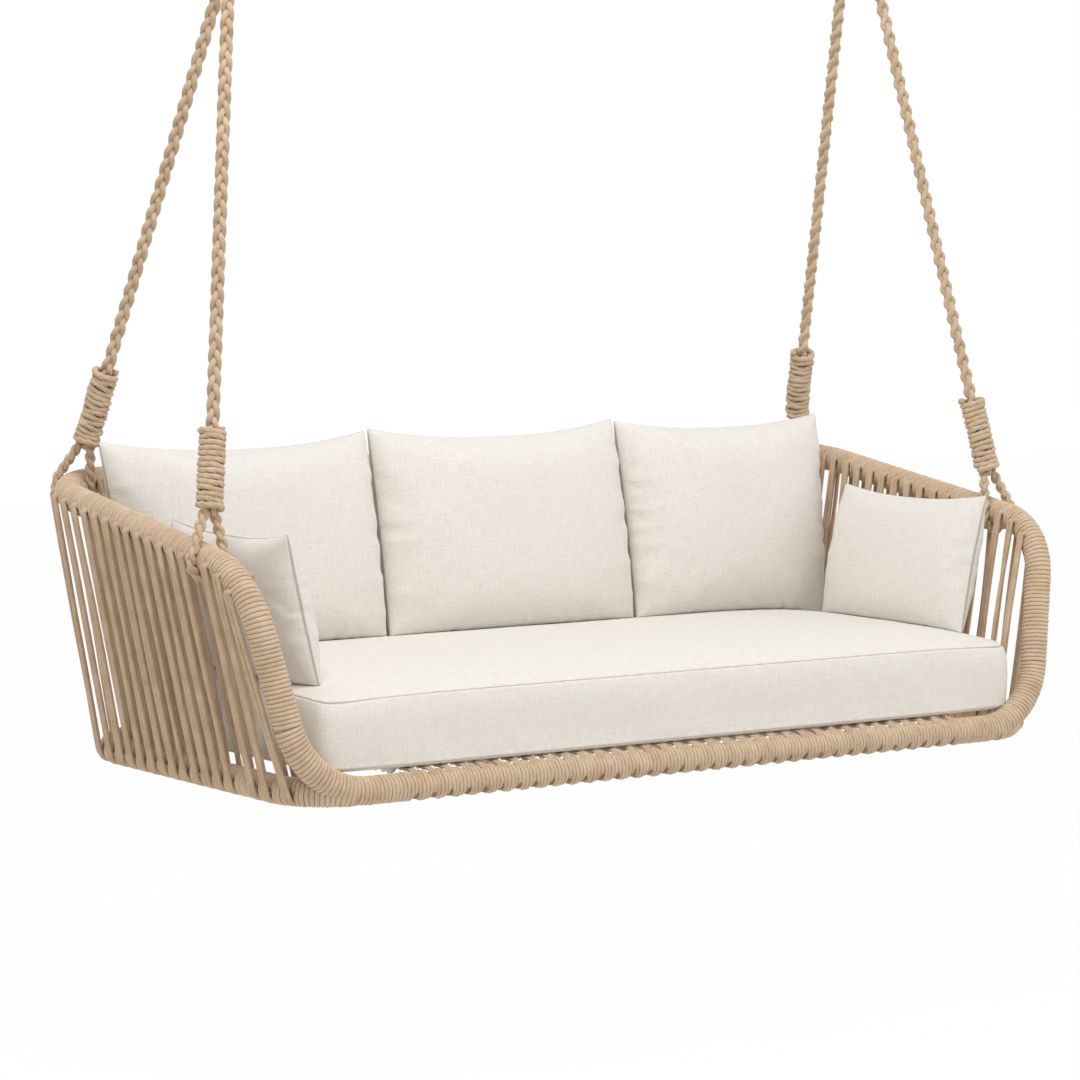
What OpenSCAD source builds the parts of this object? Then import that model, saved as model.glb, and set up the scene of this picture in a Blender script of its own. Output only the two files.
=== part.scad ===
// Hanging three-seat sofa: a tube basket wound and strung with cord, on four ropes.
// Origin: middle of the ceiling plane between the two hangers. +X runs along the seat,
// -Y is the front, +Z is up. The basket is drawn in its own frame, whose origin is the
// centre of the front rail, and in_basket() moves it to its place under the ceiling.

/* [Hanging] */
// Distance between the two ceiling hangers
hanger_span = 1594; // [1500:2:1700]
// Height of the ceiling above the centre of the front rail
hang_drop = 2000; // [1900:10:2600]
// Distance of the hangers behind the front rail
hang_back = 465; // [440:1:490]
// Radius of a main rope
rope_r = 14; // [11:0.5:16]
// Radius of each leg of the rope below its whipping
leg_r = 8.5; // [6:0.5:10]
// Distance along the rope from the rail's centre to the fork of the legs
fork_rise = 96; // [85:1:120]
// Length of rope under a whipping
whipping_length = 160; // [120:1:180]
// Number of turns in a whipping
whipping_turns = 14; // [8:1:16]
// Place of the front ropes along the arm rail, from its front corner
front_rope_at = 235; // [200:1:260]
// Place of the back ropes along the arm rail, from its front corner
back_rope_at = 943; // [900:1:960]

/* [Basket] */
// Half of the base's length, to the centre of its side rails
base_half = 930; // [850:5:1000]
// Half of the length between the arm rails' centres
arm_half = 1022; // [950:5:1080]
// Depth from the centre of the front rail to the centre of the back rail
depth = 955; // [900:5:1050]
// Distance that the front corner of an arm stands behind the front rail
arm_set_back = 74; // [50:2:100]
// Height of an arm's front corner above the front rail
arm_front_height = 430; // [400:5:460]
// Height of the back rail above the front rail
back_height = 563; // [530:5:600]
// Radius of the bend from the front rail into a post
foot_bend = 170; // [140:5:190]
// Radius of the bend from a post into an arm
arm_bend = 160; // [130:5:180]
// Radius of the bend from an arm into the back rail
corner_bend = 180; // [150:5:200]
// Radius of the base's back bends
base_bend = 200; // [130:5:230]
// Radius of the base's front bends
base_front_bend = 120; // [100:5:130]

/* [Tubes and cord] */
// Radius of the frame's tube
tube_r = 23; // [19:0.5:25]
// Wall of the frame's tube
tube_wall = 2; // [1.5:0.5:3]
// Thickness of the winding on the tube
winding_t = 6; // [4:0.5:7]
// Radius of a deck bearer
bearer_r = 12; // [10:0.5:13]
// Wall of a deck bearer
bearer_wall = 2; // [1.5:0.5:3]
// Number of deck cords between two deck bearers
bearer_cords = 10; // [7:1:12]
// Distance between two infill strands of one layer, along the rail
strand_pitch = 47; // [42:1:60]
// Width of an infill strand, two thick cords side by side
strand_w = 15; // [10:0.5:16]
// Thickness of an infill strand, one cord
strand_t = 5; // [4:0.5:6]

/* [Cushions] */
// From the base side rail's centre in to the seat cushion's end
seat_end_in = 40; // [35:5:110]
// Place of the seat cushion's front face behind the front rail
seat_front = 2; // [0:1:20]
// Depth of the seat cushion
seat_depth = 804; // [770:2:830]
// Height of the seat cushion's side, between its two seams
seat_side = 138; // [110:2:145]
// Rise of the seat cushion's crown above its top seam
seat_crown = 40; // [30:1:45]
// Width of the left and the centre back cushion
back_cushion_w = 660; // [600:2:664]
// Width of the right back cushion, squeezed in against the arm
right_cushion_w = 590; // [560:2:596]
// Height of a back cushion
back_cushion_h = 462; // [400:2:470]
// Thickness of a back cushion
back_cushion_t = 190; // [150:5:200]
// Lean of a back cushion from upright
back_cushion_lean = 11; // [8:0.5:13]
// Width of a side pillow
pillow_w = 495; // [440:5:520]
// Height of a side pillow
pillow_h = 310; // [280:5:335]
// Thickness of a side pillow
pillow_t = 130; // [100:5:140]
// Lean of a side pillow beyond the slope of the basket's side
pillow_lean = 1; // [0:0.5:4]
// Thickness of the fabric and wadding round a filled cushion's loose fill
cover_t = 5; // [4:0.5:10]

/* [Ceiling hanger] */
// Thickness of the ceiling plate
plate_t = 6; // [5:0.5:10]
// Size of the ceiling plate along X
plate_x = 64; // [60:1:90]
// Size of the ceiling plate along Y
plate_y = 120; // [110:1:150]
// Distance between a plate's two bolt holes
bolt_pitch = 84; // [80:1:95]
// Radius of a bolt hole
bolt_hole_r = 4.5; // [3:0.5:6]
// Depth of the hinge pin's centre below the ceiling
pin_depth = 42; // [38:1:50]
// Radius of the hinge pin
pin_r = 6; // [5:0.5:8]
// Thickness of a hanger's ear
ear_t = 6; // [4:0.5:8]
// Gap between a hanger's two ears
ear_gap = 20; // [18:0.5:24]
// Radius of the swinging link's upper eye
eye_r = 17; // [15:0.5:20]
// Wall of the hinge bush
bush_wall = 3; // [2:0.5:4]
// Distance from the hinge pin to the centre of the link's lower eye
link_length = 60; // [55:1:80]
// Radius of the wire of the link's lower eye and of the rope ring
wire_r = 6; // [5:0.5:7]
// Radius of the rope ring, to the middle of its wire
ring_r = 50; // [45:1:60]

/* [Hidden] */
$fn = 48;

// Running clearance of the hinge pin in its bores, on the radius
pin_clearance = 0.05;
// Side clearance of the swinging link between the ears
link_clearance = 0.5;
// Clearance between pieces that bear on one another
rest_gap = 0.3;
// Clearance of a coped or bored cord sleeve round a tube
sleeve_clearance = 0.4;
// Half the length of the seat cushion
seat_half = base_half - seat_end_in;
// Gap where the front rail meets its bends
butt_gap = 0.01;
// Clearance of a strand beside the winding that it crosses
strand_clearance = 1.6;
// Colours
cord_colour = "tan";
rope_colour = "burlywood";
linen_colour = "linen";
steel_colour = "silver";

winding_r = tube_r + winding_t;
// Steps that a bend is divided into where a place along a rail is looked up
bend_steps = 12;

// Vectors and rails

function unit(v) = v / norm(v);
function blend(a, b, t) = a + (b - a) * t;

// Interior angle of the corner a-b-c
function corner_angle(a, b, c) = acos(unit(a - b) * unit(c - b));

// Distance from corner b to where a bend of radius r starts and ends
function setback(a, b, c, r) = r / tan(corner_angle(a, b, c) / 2);

// Centre of that bend
function bend_centre(a, b, c, r) =
    b + unit(unit(a - b) + unit(c - b)) * r / sin(corner_angle(a, b, c) / 2);

function bend_start(a, b, c, r) = b + unit(a - b) * setback(a, b, c, r);
function bend_end(a, b, c, r) = b + unit(c - b) * setback(a, b, c, r);
function bend_sweep(a, b, c) = 180 - corner_angle(a, b, c);

// The bend's own axes: X to its start, Z along its axis of revolution
function bend_axes(a, b, c, r) =
    let (o = bend_centre(a, b, c, r),
         x = unit(bend_start(a, b, c, r) - o),
         z = unit(cross(x, bend_end(a, b, c, r) - o)))
    [x, cross(z, x), z];

function bend_points(a, b, c, r) =
    let (o = bend_centre(a, b, c, r), f = bend_axes(a, b, c, r), w = bend_sweep(a, b, c))
    [for (k = [0:bend_steps]) let (t = w * k / bend_steps) o + r * (f[0] * cos(t) + f[1] * sin(t))];

// A rail's centreline as points: corners p, with a bend of radius r[i] at each inner corner
function rail_points(p, r) = concat(
    [p[0]],
    [for (i = [1:len(p) - 2]) each bend_points(p[i - 1], p[i], p[i + 1], r[i - 1])],
    [p[len(p) - 1]]);

// Distance along the rail at each of its points
function rail_runs(p) = [for (i = 0, s = 0; i < len(p); s = s + (i + 1 < len(p) ? norm(p[i + 1] - p[i]) : 0), i = i + 1) s];

// The point at distance s along a rail
function rail_at(p, runs, s) =
    [for (j = [0:2]) lookup(s, [for (i = [0:len(p) - 1]) [runs[i], p[i][j]]])];

// The rail's direction at distance s
function rail_direction(p, runs, s) = unit(rail_at(p, runs, s + 3) - rail_at(p, runs, s - 3));

// Corners of the right half of the frame, in the basket's frame
front_middle = [0, 0, 0];
front_corner = [base_half, 0, 0];
arm_corner = [arm_half, arm_set_back, arm_front_height];
back_corner = [arm_half, depth, back_height];
back_middle = [0, depth, back_height];
base_corner = [base_half, depth, 0];
base_middle = [0, depth, 0];

// The upper rail from the front corner up the post, along the arm and the back
upper = rail_points([front_corner, arm_corner, back_corner, back_middle], [arm_bend, corner_bend]);
upper_runs = rail_runs(upper);
upper_length = upper_runs[len(upper) - 1];
// The lower rail from the front middle along the side and the back
lower = rail_points([front_middle, front_corner, base_corner, base_middle], [base_front_bend, base_bend]);
lower_runs = rail_runs(lower);
lower_length = lower_runs[len(lower) - 1];

// Places along the upper rail: where the arm's front bend starts, and the back corner bend's ends
arm_bend_start = norm(arm_corner - front_corner) - setback(front_corner, arm_corner, back_corner, arm_bend);
corner_end = upper_length - arm_half + setback(arm_corner, back_corner, back_middle, corner_bend);
corner_start = corner_end - corner_bend * bend_sweep(arm_corner, back_corner, back_middle) * PI / 180;
corner_mid = (corner_start + corner_end) / 2;
// The same ends on the lower rail
base_corner_end = lower_length - base_half + setback(front_corner, base_corner, base_middle, base_bend);
base_corner_start = base_corner_end - base_bend * PI / 2;

// Places of the ropes, measured from the end of the arm's front bend
front_rope_run = arm_bend_start + front_rope_at;
back_rope_run = arm_bend_start + back_rope_at;

// Solids of revolution and extrusion placed along the rails

module section(outer, inner) {
    difference() {
        circle(outer);
        if (inner > 0) circle(inner);
    }
}

// Puts its children's Z axis along a-b, starting at a
module along(a, b) {
    d = b - a;
    translate(a) rotate([0, acos(d.z / norm(d)), atan2(d.y, d.x)]) children();
}

module pipe(a, b, outer, inner = 0) {
    along(a, b) linear_extrude(norm(b - a)) section(outer, inner);
}

// Puts its children in axes f at o
module in_axes(o, f) {
    multmatrix([
        [f[0].x, f[1].x, f[2].x, o.x],
        [f[0].y, f[1].y, f[2].y, o.y],
        [f[0].z, f[1].z, f[2].z, o.z]
    ]) children();
}

module pipe_bend(a, b, c, r, outer, inner = 0, part = 1) {
    in_axes(bend_centre(a, b, c, r), bend_axes(a, b, c, r))
        rotate_extrude(angle = bend_sweep(a, b, c) * part)
            translate([r, 0]) section(outer, inner);
}

// Moves the basket's frame under the ceiling
module in_basket() {
    translate([0, -hang_back, -hang_drop]) children();
}

// Draws its child for the right (1) or mirrored for the left (-1)
module on_side(side) {
    if (side > 0) children();
    else mirror([1, 0, 0]) children();
}

// Frame tubes and their windings share these paths

// The front rail with both foot bends, which it meets end to end
module front_rail_path(outer, inner = 0) {
    for (side = [-1, 1]) on_side(side)
        pipe_bend(front_middle, front_corner, arm_corner, foot_bend, outer, inner);
    x = bend_start(front_middle, front_corner, arm_corner, foot_bend).x - butt_gap;
    pipe([-x, 0, 0], [x, 0, 0], outer, inner);
}

// One post, its bend, the arm and the bend into the back rail
module arm_path(outer, inner = 0) {
    pipe(bend_end(front_middle, front_corner, arm_corner, foot_bend),
         bend_start(front_corner, arm_corner, back_corner, arm_bend), outer, inner);
    pipe_bend(front_corner, arm_corner, back_corner, arm_bend, outer, inner);
    pipe(bend_end(front_corner, arm_corner, back_corner, arm_bend),
         bend_start(arm_corner, back_corner, back_middle, corner_bend), outer, inner);
    pipe_bend(arm_corner, back_corner, back_middle, corner_bend, outer, inner);
}

module back_rail_path(outer, inner = 0) {
    e = bend_end(arm_corner, back_corner, back_middle, corner_bend);
    pipe([-e.x, e.y, e.z], e, outer, inner);
}

// Part of the base's front bend that stands clear of the foot bend
base_front_part = 0.5;

// One side of the base: its back bend, the side and what is left of the front bend
module base_side_path(outer, inner = 0) {
    pipe_bend(base_middle, base_corner, front_corner, base_bend, outer, inner);
    pipe(bend_end(base_middle, base_corner, front_corner, base_bend) - [0, butt_gap, 0],
         bend_start(base_corner, front_corner, front_middle, base_front_bend) + [0, butt_gap, 0], outer, inner);
    pipe_bend(base_corner, front_corner, front_middle, base_front_bend, outer, inner, base_front_part);
}

module base_back_path(outer, inner = 0) {
    s = bend_start(base_middle, base_corner, front_corner, base_bend);
    pipe([-s.x, s.y, s.z], s, outer, inner);
}

module bearer_rod(x, outer, inner = 0) {
    pipe([x, 0, 0], [x, depth, 0], outer, inner);
}

module front_rail_tube() {
    color(steel_colour) in_basket() front_rail_path(tube_r, tube_r - tube_wall);
}

module arm_tube(side) {
    color(steel_colour) in_basket() on_side(side) arm_path(tube_r, tube_r - tube_wall);
}

module back_rail_tube() {
    color(steel_colour) in_basket() back_rail_path(tube_r, tube_r - tube_wall);
}

module base_tube(side) {
    color(steel_colour) in_basket() on_side(side) difference() {
        base_side_path(tube_r, tube_r - tube_wall);
        pipe_bend(front_middle, front_corner, arm_corner, foot_bend, tube_r + sleeve_clearance);
    }
}

module base_back_tube() {
    color(steel_colour) in_basket() base_back_path(tube_r, tube_r - tube_wall);
}

// The sleeves of cord wound on the tubes, bored where another tube is welded on
sleeve_bore = tube_r + sleeve_clearance;

module front_rail_winding() {
    color(cord_colour) in_basket() difference() {
        front_rail_path(winding_r);
        front_rail_path(sleeve_bore);
        for (x = bearer_places) bearer_rod(x, bearer_r + sleeve_clearance);
        for (side = [-1, 1]) on_side(side) base_side_path(sleeve_bore);
    }
}

module arm_winding(side) {
    color(cord_colour) in_basket() on_side(side) difference() {
        arm_path(winding_r);
        arm_path(sleeve_bore);
    }
}

module back_rail_winding() {
    color(cord_colour) in_basket() back_rail_path(winding_r, sleeve_bore);
}

module base_winding(side) {
    color(cord_colour) in_basket() on_side(side) difference() {
        base_side_path(winding_r);
        base_side_path(sleeve_bore);
        pipe_bend(front_middle, front_corner, arm_corner, foot_bend, winding_r + sleeve_clearance);
    }
}

module base_back_winding() {
    color(cord_colour) in_basket() difference() {
        base_back_path(winding_r, sleeve_bore);
        for (x = bearer_places) bearer_rod(x, bearer_r + sleeve_clearance);
    }
}

// Tubes from the front rail to the base's back rail, under the deck cords, coped at both ends
module deck_bearer(x) {
    color(steel_colour) in_basket() difference() {
        bearer_rod(x, bearer_r, bearer_r - bearer_wall);
        pipe([x - bearer_r - 1, 0, 0], [x + bearer_r + 1, 0, 0], tube_r + sleeve_clearance);
        pipe([x - bearer_r - 1, depth, 0], [x + bearer_r + 1, depth, 0], tube_r + sleeve_clearance);
    }
}

// Infill strands: flat bands of two cords, from the upper rail to the lower one

// Distance of a strand's middle from a rail's centre
strand_offset = winding_r + strand_t / 2 + strand_clearance;

// Where the first strand of a side starts and ends, along the upper and the lower rail
side_upper_from = arm_bend_start + 100;
side_lower_from = base_half - base_front_bend + 0.7 * base_front_bend * PI / 2;
side_count = round((corner_mid - side_upper_from) / strand_pitch);
back_count = round((upper_length - corner_mid) / strand_pitch);
back_pitch = (upper_length - corner_mid) / back_count;

// The place on the lower rail under place s of the upper rail, straight under straight and bend under bend
function lower_place(s) = lookup(s, [
    [side_upper_from, side_lower_from], [corner_start, base_corner_start],
    [corner_end, base_corner_end], [upper_length, lower_length]
]);

// Half of a rope loop's room along the rail
loop_room = leg_r + strand_w / 2 + 7;

function clear_of_ropes(s) = abs(s - front_rope_run) > loop_room && abs(s - back_rope_run) > loop_room;

module band(a, b, width_dir) {
    d = unit(b - a);
    w = unit(width_dir - (width_dir * d) * d);
    in_axes(a, [w, cross(d, w), d]) linear_extrude(norm(b - a)) {
        square([strand_w - strand_t, strand_t], center = true);
        for (e = [-1, 1]) translate([e * (strand_w - strand_t) / 2, 0]) circle(d = strand_t);
    }
}

// One strand between places s on the upper rail and t on the lower rail; layer 1 is outside
module strand(s, t, layer) {
    a = rail_at(upper, upper_runs, s);
    b = rail_at(lower, lower_runs, t);
    ta = rail_direction(upper, upper_runs, s);
    tb = rail_direction(lower, lower_runs, t);
    d = unit(b - a);
    na = unit(cross(d, ta)) * layer;
    nb = unit(cross(d, tb)) * layer;
    band(a + na * strand_offset, b + nb * strand_offset, ta + tb);
}

// The inner strands hang between the outer ones on the left, and level with them on the right
module side_strands(side, layer) {
    shift = layer < 0 && side < 0 ? 0.5 : 0;
    color(cord_colour) in_basket() on_side(side) for (k = [0:side_count - 1]) {
        u = (k + shift) / side_count;
        s = blend(side_upper_from, corner_mid, u);
        if (clear_of_ropes(s)) strand(s, lower_place(s), layer);
    }
}

// Strands of the back, counted from its middle, where one outer strand hangs
module back_strands(layer) {
    shift = layer > 0 ? 0 : 0.5;
    color(cord_colour) in_basket() for (side = [-1, 1]) on_side(side) for (k = [0:back_count]) {
        s = upper_length - (k + shift) * back_pitch;
        middle_twice = k + shift == 0 && side < 0;
        if (s >= corner_mid && !middle_twice && clear_of_ropes(s)) strand(s, lower_place(s), layer);
    }
}

// Deck cords run front to back over both rails, in the gaps between the inner back strands
deck_cord_z = winding_r + strand_t / 2 + strand_clearance;
deck_half = base_half - max(foot_bend, base_bend) - strand_w;
deck_pitch = back_pitch * (lower_length - base_corner_end) / (upper_length - corner_end);
bearer_places = [for (k = [-1:1]) k * bearer_cords * deck_pitch];

module deck_cords() {
    n = floor(deck_half / deck_pitch);
    color(cord_colour) in_basket() for (k = [-n:n])
        band([k * deck_pitch, 0, deck_cord_z], [k * deck_pitch, depth, deck_cord_z], [1, 0, 0]);
}

// Ropes

// Ring and eyes above the ropes, in the basket's frame; side is 1 or -1
pin_z = hang_drop - pin_depth;
lower_eye_z = pin_z - link_length;
// Radius of the link's lower eye, to the middle of its wire
lower_eye_r = 17;
ring_z = lower_eye_z - (lower_eye_r - 2 * wire_r - rest_gap) - ring_r;
// Radius of the rope in its eye splice, and of the splice to the middle of the rope
splice_r = 11;
splice_ring_r = 22;
// Length of the splice below its eye
splice_length = 58;
// Half of the distance between the two splices on a ring
splice_x = 18;
splice_turn = asin(splice_x / ring_r);

// End is 1 for the front rope and -1 for the back rope
function splice_centre(end) =
    [hanger_span / 2, hang_back, ring_z]
    + (ring_r + splice_ring_r - splice_r - wire_r - rest_gap)
        * [end * sin(splice_turn), 0, -cos(splice_turn)];
function rope_run(end) = end > 0 ? front_rope_run : back_rope_run;
function rope_seat(end) = rail_at(upper, upper_runs, rope_run(end));
function rope_direction(end) = unit(splice_centre(end) - rope_seat(end));
function rope_fork(end) = rope_seat(end) + rope_direction(end) * fork_rise;
function rope_top(end) = splice_centre(end) - rope_direction(end) * (splice_ring_r + splice_length);

module rope_eye(side, end) {
    c = splice_centre(end);
    color(rope_colour) in_basket() on_side(side) {
        translate(c) rotate([0, 90 - end * splice_turn, 0])
            rotate_extrude() translate([splice_ring_r, 0]) circle(splice_r);
        pipe(c - rope_direction(end) * splice_ring_r, rope_top(end), splice_r);
    }
}

// A rope's rounded end and its bends stand this much proud of it
rope_swell = 0.2;

module rope(side, end) {
    color(rope_colour) in_basket() on_side(side) {
        pipe(rope_top(end), rope_fork(end), rope_r);
        translate(rope_fork(end)) sphere(rope_r + rope_swell);
    }
}

// Whipping: one cord wound round the rope as a single unbroken tube

whipping_pitch = whipping_length / whipping_turns;
whipping_cord_r = (whipping_pitch - 0.6) / 2;
// Rings of the tube to a turn, and its sides
turn_rings = 8;
cord_sides = 6;
// The flats of the wound tube just clear the rope
whipping_r = (rope_r + rest_gap) / cos(180 / turn_rings) + whipping_cord_r * cos(180 / cord_sides);
whipping_start = 6.5;

function whipping_centre(k) =
    let (t = 360 * k / turn_rings) [whipping_r * cos(t), whipping_r * sin(t), whipping_pitch * k / turn_rings];

function whipping_ring(k) =
    let (n = whipping_turns * turn_rings,
         j = min(max(k, 0), n),
         t = 360 * j / turn_rings,
         tail = (k < 0 ? -1 : k > n ? 1 : 0) * 2 * whipping_cord_r,
         c = whipping_centre(j) + tail * [-sin(t), cos(t), 0])
    [for (i = [0:cord_sides - 1])
        let (w = 360 * (i + 0.5) / cord_sides)
        c + whipping_cord_r * (cos(w) * [cos(t), sin(t), 0] + sin(w) * [0, 0, 1])];

// Faces of a tube of m rings with n sides, closed at both ends
function tube_faces(m, n) = concat(
    [for (i = [1:n - 2]) [0, i + 1, i]],
    [for (k = [0:m - 2], i = [0:n - 1])
        each [[k * n + i, (k + 1) * n + (i + 1) % n, (k + 1) * n + i],
              [k * n + i, k * n + (i + 1) % n, (k + 1) * n + (i + 1) % n]]],
    [for (i = [1:n - 2]) [(m - 1) * n, (m - 1) * n + i, (m - 1) * n + i + 1]]);

// Least distance between points half a turn or more apart along the wound tube
function whipping_gap(rings) = min([
    for (a = [0:len(rings) - 1 - turn_rings / 2], b = [a + turn_rings / 2:min(len(rings) - 1, a + 2 * turn_rings)])
        min([for (p = rings[a], q = rings[b]) norm(p - q)])]);

module whipping(side, end) {
    rings = [for (k = [-1:whipping_turns * turn_rings + 1]) whipping_ring(k)];
    echo(str("whipping: least gap to itself ", whipping_gap(rings), " mm"));
    color(rope_colour) in_basket() on_side(side)
        along(rope_fork(end) + rope_direction(end) * whipping_start, rope_top(end))
            polyhedron([for (r = rings) each r], tube_faces(len(rings), cord_sides));
}

// Loop of the rope's two legs round the arm rail
loop_r = winding_r + leg_r + sleeve_clearance;
// Ball that fills the slight kink where a leg meets the loop
knee_r = leg_r + rope_swell;

module rope_loop(side, end) {
    a = rope_seat(end);
    p = rope_fork(end);
    t = rail_direction(upper, upper_runs, rope_run(end));
    z = unit((p - a) - ((p - a) * t) * t);
    x = cross(t, z);
    leg_x = leg_r + 0.3;
    rise = (p - a) * z;
    reach = norm([leg_x, rise]);
    w = atan2(rise, leg_x) - acos(loop_r / reach);
    color(rope_colour) in_basket() on_side(side) difference() {
        union() {
            for (e = [-1, 1]) {
                foot = a + loop_r * (e * x * cos(w) + z * sin(w));
                pipe(foot, p + e * x * leg_x, leg_r);
                translate(foot) sphere(knee_r);
            }
            in_axes(a, [-x * cos(w) + z * sin(w), cross(-t, -x * cos(w) + z * sin(w)), -t])
                rotate_extrude(angle = 180 + 2 * w) translate([loop_r, 0]) circle(leg_r);
        }
        translate(p) sphere(rope_r + sleeve_clearance);
    }
}

// Ceiling hangers

module hanger_plate(side) {
    color(steel_colour) translate([side * hanger_span / 2, 0, 0]) difference() {
        union() {
            translate([0, 0, -plate_t / 2]) cube([plate_x, plate_y, plate_t], center = true);
            for (e = [-1, 1]) translate([e * (ear_gap + ear_t) / 2, 0, 0]) {
                translate([0, 0, -pin_depth / 2]) cube([ear_t, 2 * eye_r, pin_depth], center = true);
                translate([-ear_t / 2, 0, -pin_depth]) rotate([0, 90, 0]) cylinder(h = ear_t, r = eye_r);
            }
        }
        for (y = [-1, 1]) translate([0, y * bolt_pitch / 2, -plate_t - 1]) cylinder(h = plate_t + 2, r = bolt_hole_r);
        translate([-plate_x / 2, 0, -pin_depth]) rotate([0, 90, 0]) cylinder(h = plate_x, r = pin_r + pin_clearance);
    }
}

// Headed pin with a riveted collar at its other end
module hinge_pin(side) {
    half = ear_gap / 2 + ear_t + 0.5;
    head_t = 4;
    color(steel_colour) translate([side * hanger_span / 2, 0, -pin_depth]) rotate([0, 90, 0]) {
        cylinder(h = 2 * (half + head_t), r = pin_r, center = true);
        for (e = [-1, 1]) translate([0, 0, e * (half + head_t / 2)]) cylinder(h = head_t, r = pin_r + 4, center = true);
    }
}

module hinge_bush(side) {
    width = ear_gap - 2 * link_clearance;
    color("ivory") translate([side * hanger_span / 2, 0, -pin_depth]) rotate([0, 90, 0])
        difference() {
            cylinder(h = width, r = pin_r + bush_wall, center = true);
            cylinder(h = width + 2, r = pin_r + pin_clearance, center = true);
        }
}

module swing_link(side) {
    width = ear_gap - 2 * link_clearance - 1;
    color(steel_colour) translate([side * hanger_span / 2, 0, -pin_depth]) {
        difference() {
            union() {
                rotate([0, 90, 0]) cylinder(h = width, r = eye_r - 1, center = true);
                translate([0, 0, -link_length + lower_eye_r]) cylinder(h = link_length - lower_eye_r, r = 7);
            }
            rotate([0, 90, 0]) cylinder(h = width + 2, r = pin_r + bush_wall + 0.02, center = true);
            translate([0, 0, -link_length]) rotate([0, 90, 0]) cylinder(h = 20, r = lower_eye_r - wire_r, center = true);
        }
        translate([0, 0, -link_length]) rotate([0, 90, 0]) rotate_extrude() translate([lower_eye_r, 0]) circle(wire_r);
    }
}

module rope_ring(side) {
    color(steel_colour) in_basket() translate([side * hanger_span / 2, hang_back, ring_z])
        rotate([90, 0, 0]) rotate_extrude() translate([ring_r, 0]) circle(wire_r);
}

// Cushions

// Faces of a closed skin: a low pole, rings of n points from low to high, a high pole
function skin_faces(m, n) = concat(
    [for (i = [0:n - 1]) [0, 1 + i, 1 + (i + 1) % n]],
    [for (k = [0:m - 2], i = [0:n - 1])
        let (a = 1 + k * n + i, b = 1 + k * n + (i + 1) % n)
        each [[a, a + n, b + n], [a, b + n, b]]],
    [for (i = [0:n - 1]) [1 + m * n, 1 + (m - 1) * n + (i + 1) % n, 1 + (m - 1) * n + i]]);

// Seat cushion: rings at [inset from the outline, height above its underside]
seat_low = deck_cord_z + strand_t / 2 + rest_gap;
seat_bottom_seam = 8;
seat_top_seam = seat_bottom_seam + seat_side;
seat_crown_rings = [
    [0.5, seat_top_seam],
    [22, seat_top_seam + 0.32 * seat_crown],
    [80, seat_top_seam + 0.66 * seat_crown],
    [190, seat_top_seam + 0.92 * seat_crown],
    [330, seat_top_seam + seat_crown]
];
seat_rings = concat(
    [[60, 0], [24, 0], [7, seat_bottom_seam], [1, seat_bottom_seam + 0.25 * seat_side],
     [-4, seat_bottom_seam + 0.6 * seat_side], [0.5, seat_top_seam]],
    [for (i = [1:len(seat_crown_rings) - 1]) seat_crown_rings[i]]);
seat_sides = 44;
seat_middle_y = seat_front + seat_depth / 2;
// Power of the seat's outline: a rectangle with round corners
seat_power = 24;

function power(c) = sign(c) * pow(abs(c), 2 / seat_power);
function seat_point(inset, z, t) = [
    (seat_half - inset) * power(cos(t)),
    seat_middle_y + (seat_depth / 2 - inset) * power(sin(t)),
    seat_low + z
];

// Height of the seat's top over a place in plan
function seat_top(x, y) =
    let (inset = min(seat_half - abs(x), seat_depth / 2 - abs(y - seat_middle_y)))
    inset < 0 ? 0 : seat_low + lookup(inset, seat_crown_rings);

module seat_cushion() {
    top = seat_crown_rings[len(seat_crown_rings) - 1][1];
    points = concat(
        [[0, seat_middle_y, seat_low]],
        [for (r = seat_rings, i = [0:seat_sides - 1]) seat_point(r[0], r[1], 360 * (i + 0.5) / seat_sides)],
        [[0, seat_middle_y, seat_low + top]]);
    color(linen_colour) in_basket() polyhedron(points, skin_faces(len(seat_rings), seat_sides));
}

// Pillow: its sides are drawn in between four pointed corners, and it is fullest in the middle
pillow_sides = 24;
pillow_pinch = 0.055;
outer_levels = [1, 0.9, 0.68, 0.36];
inner_levels = [0.9, 0.6];

// A point of the square outline with corners at -1 and 1, at turn t in degrees
function square_point(t) =
    let (c = cos(t), s = sin(t), m = max(abs(c), abs(s))) [c / m, s / m];

// Foot is how far the lower corner on one side is drawn in: the right one if positive
function pillow_point(size, foot, u, v, face) = [
    size.x / 2 * u * (1 - pillow_pinch * (1 - v * v)) - foot * (1 - v) * (1 + sign(foot) * u) / 4,
    size.y / 2 * v * (1 - pillow_pinch * (1 - u * u)),
    face * size.z / 2 * sqrt(max(0, (1 - pow(abs(u), 2.6)) * (1 - pow(abs(v), 2.6))))
];

// Rings from the back pole over the edge to the front pole
function pillow_skin(size, foot, levels) = concat(
    [pillow_point(size, foot, 0, 0, -1)],
    [for (i = [len(levels) - 1:-1:1], k = [0:pillow_sides - 1])
        let (q = levels[i] * square_point(360 * k / pillow_sides + 45))
        pillow_point(size, foot, q.x, q.y, -1)],
    [for (i = [0:len(levels) - 1], k = [0:pillow_sides - 1])
        let (q = levels[i] * square_point(360 * k / pillow_sides + 45))
        pillow_point(size, foot, q.x, q.y, 1)],
    [pillow_point(size, foot, 0, 0, 1)]);

// The pillow's points in the basket's frame: o is its centre, and axes are across, up and out
function placed(points, o, axes) = [for (p = points) o + axes[0] * p.x + axes[1] * p.y + axes[2] * p.z];

// Lift that sets the placed points down on the seat
function lift_onto_seat(points) = max([for (p = points) seat_top(p.x, p.y) - p.z]) + rest_gap;

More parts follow.
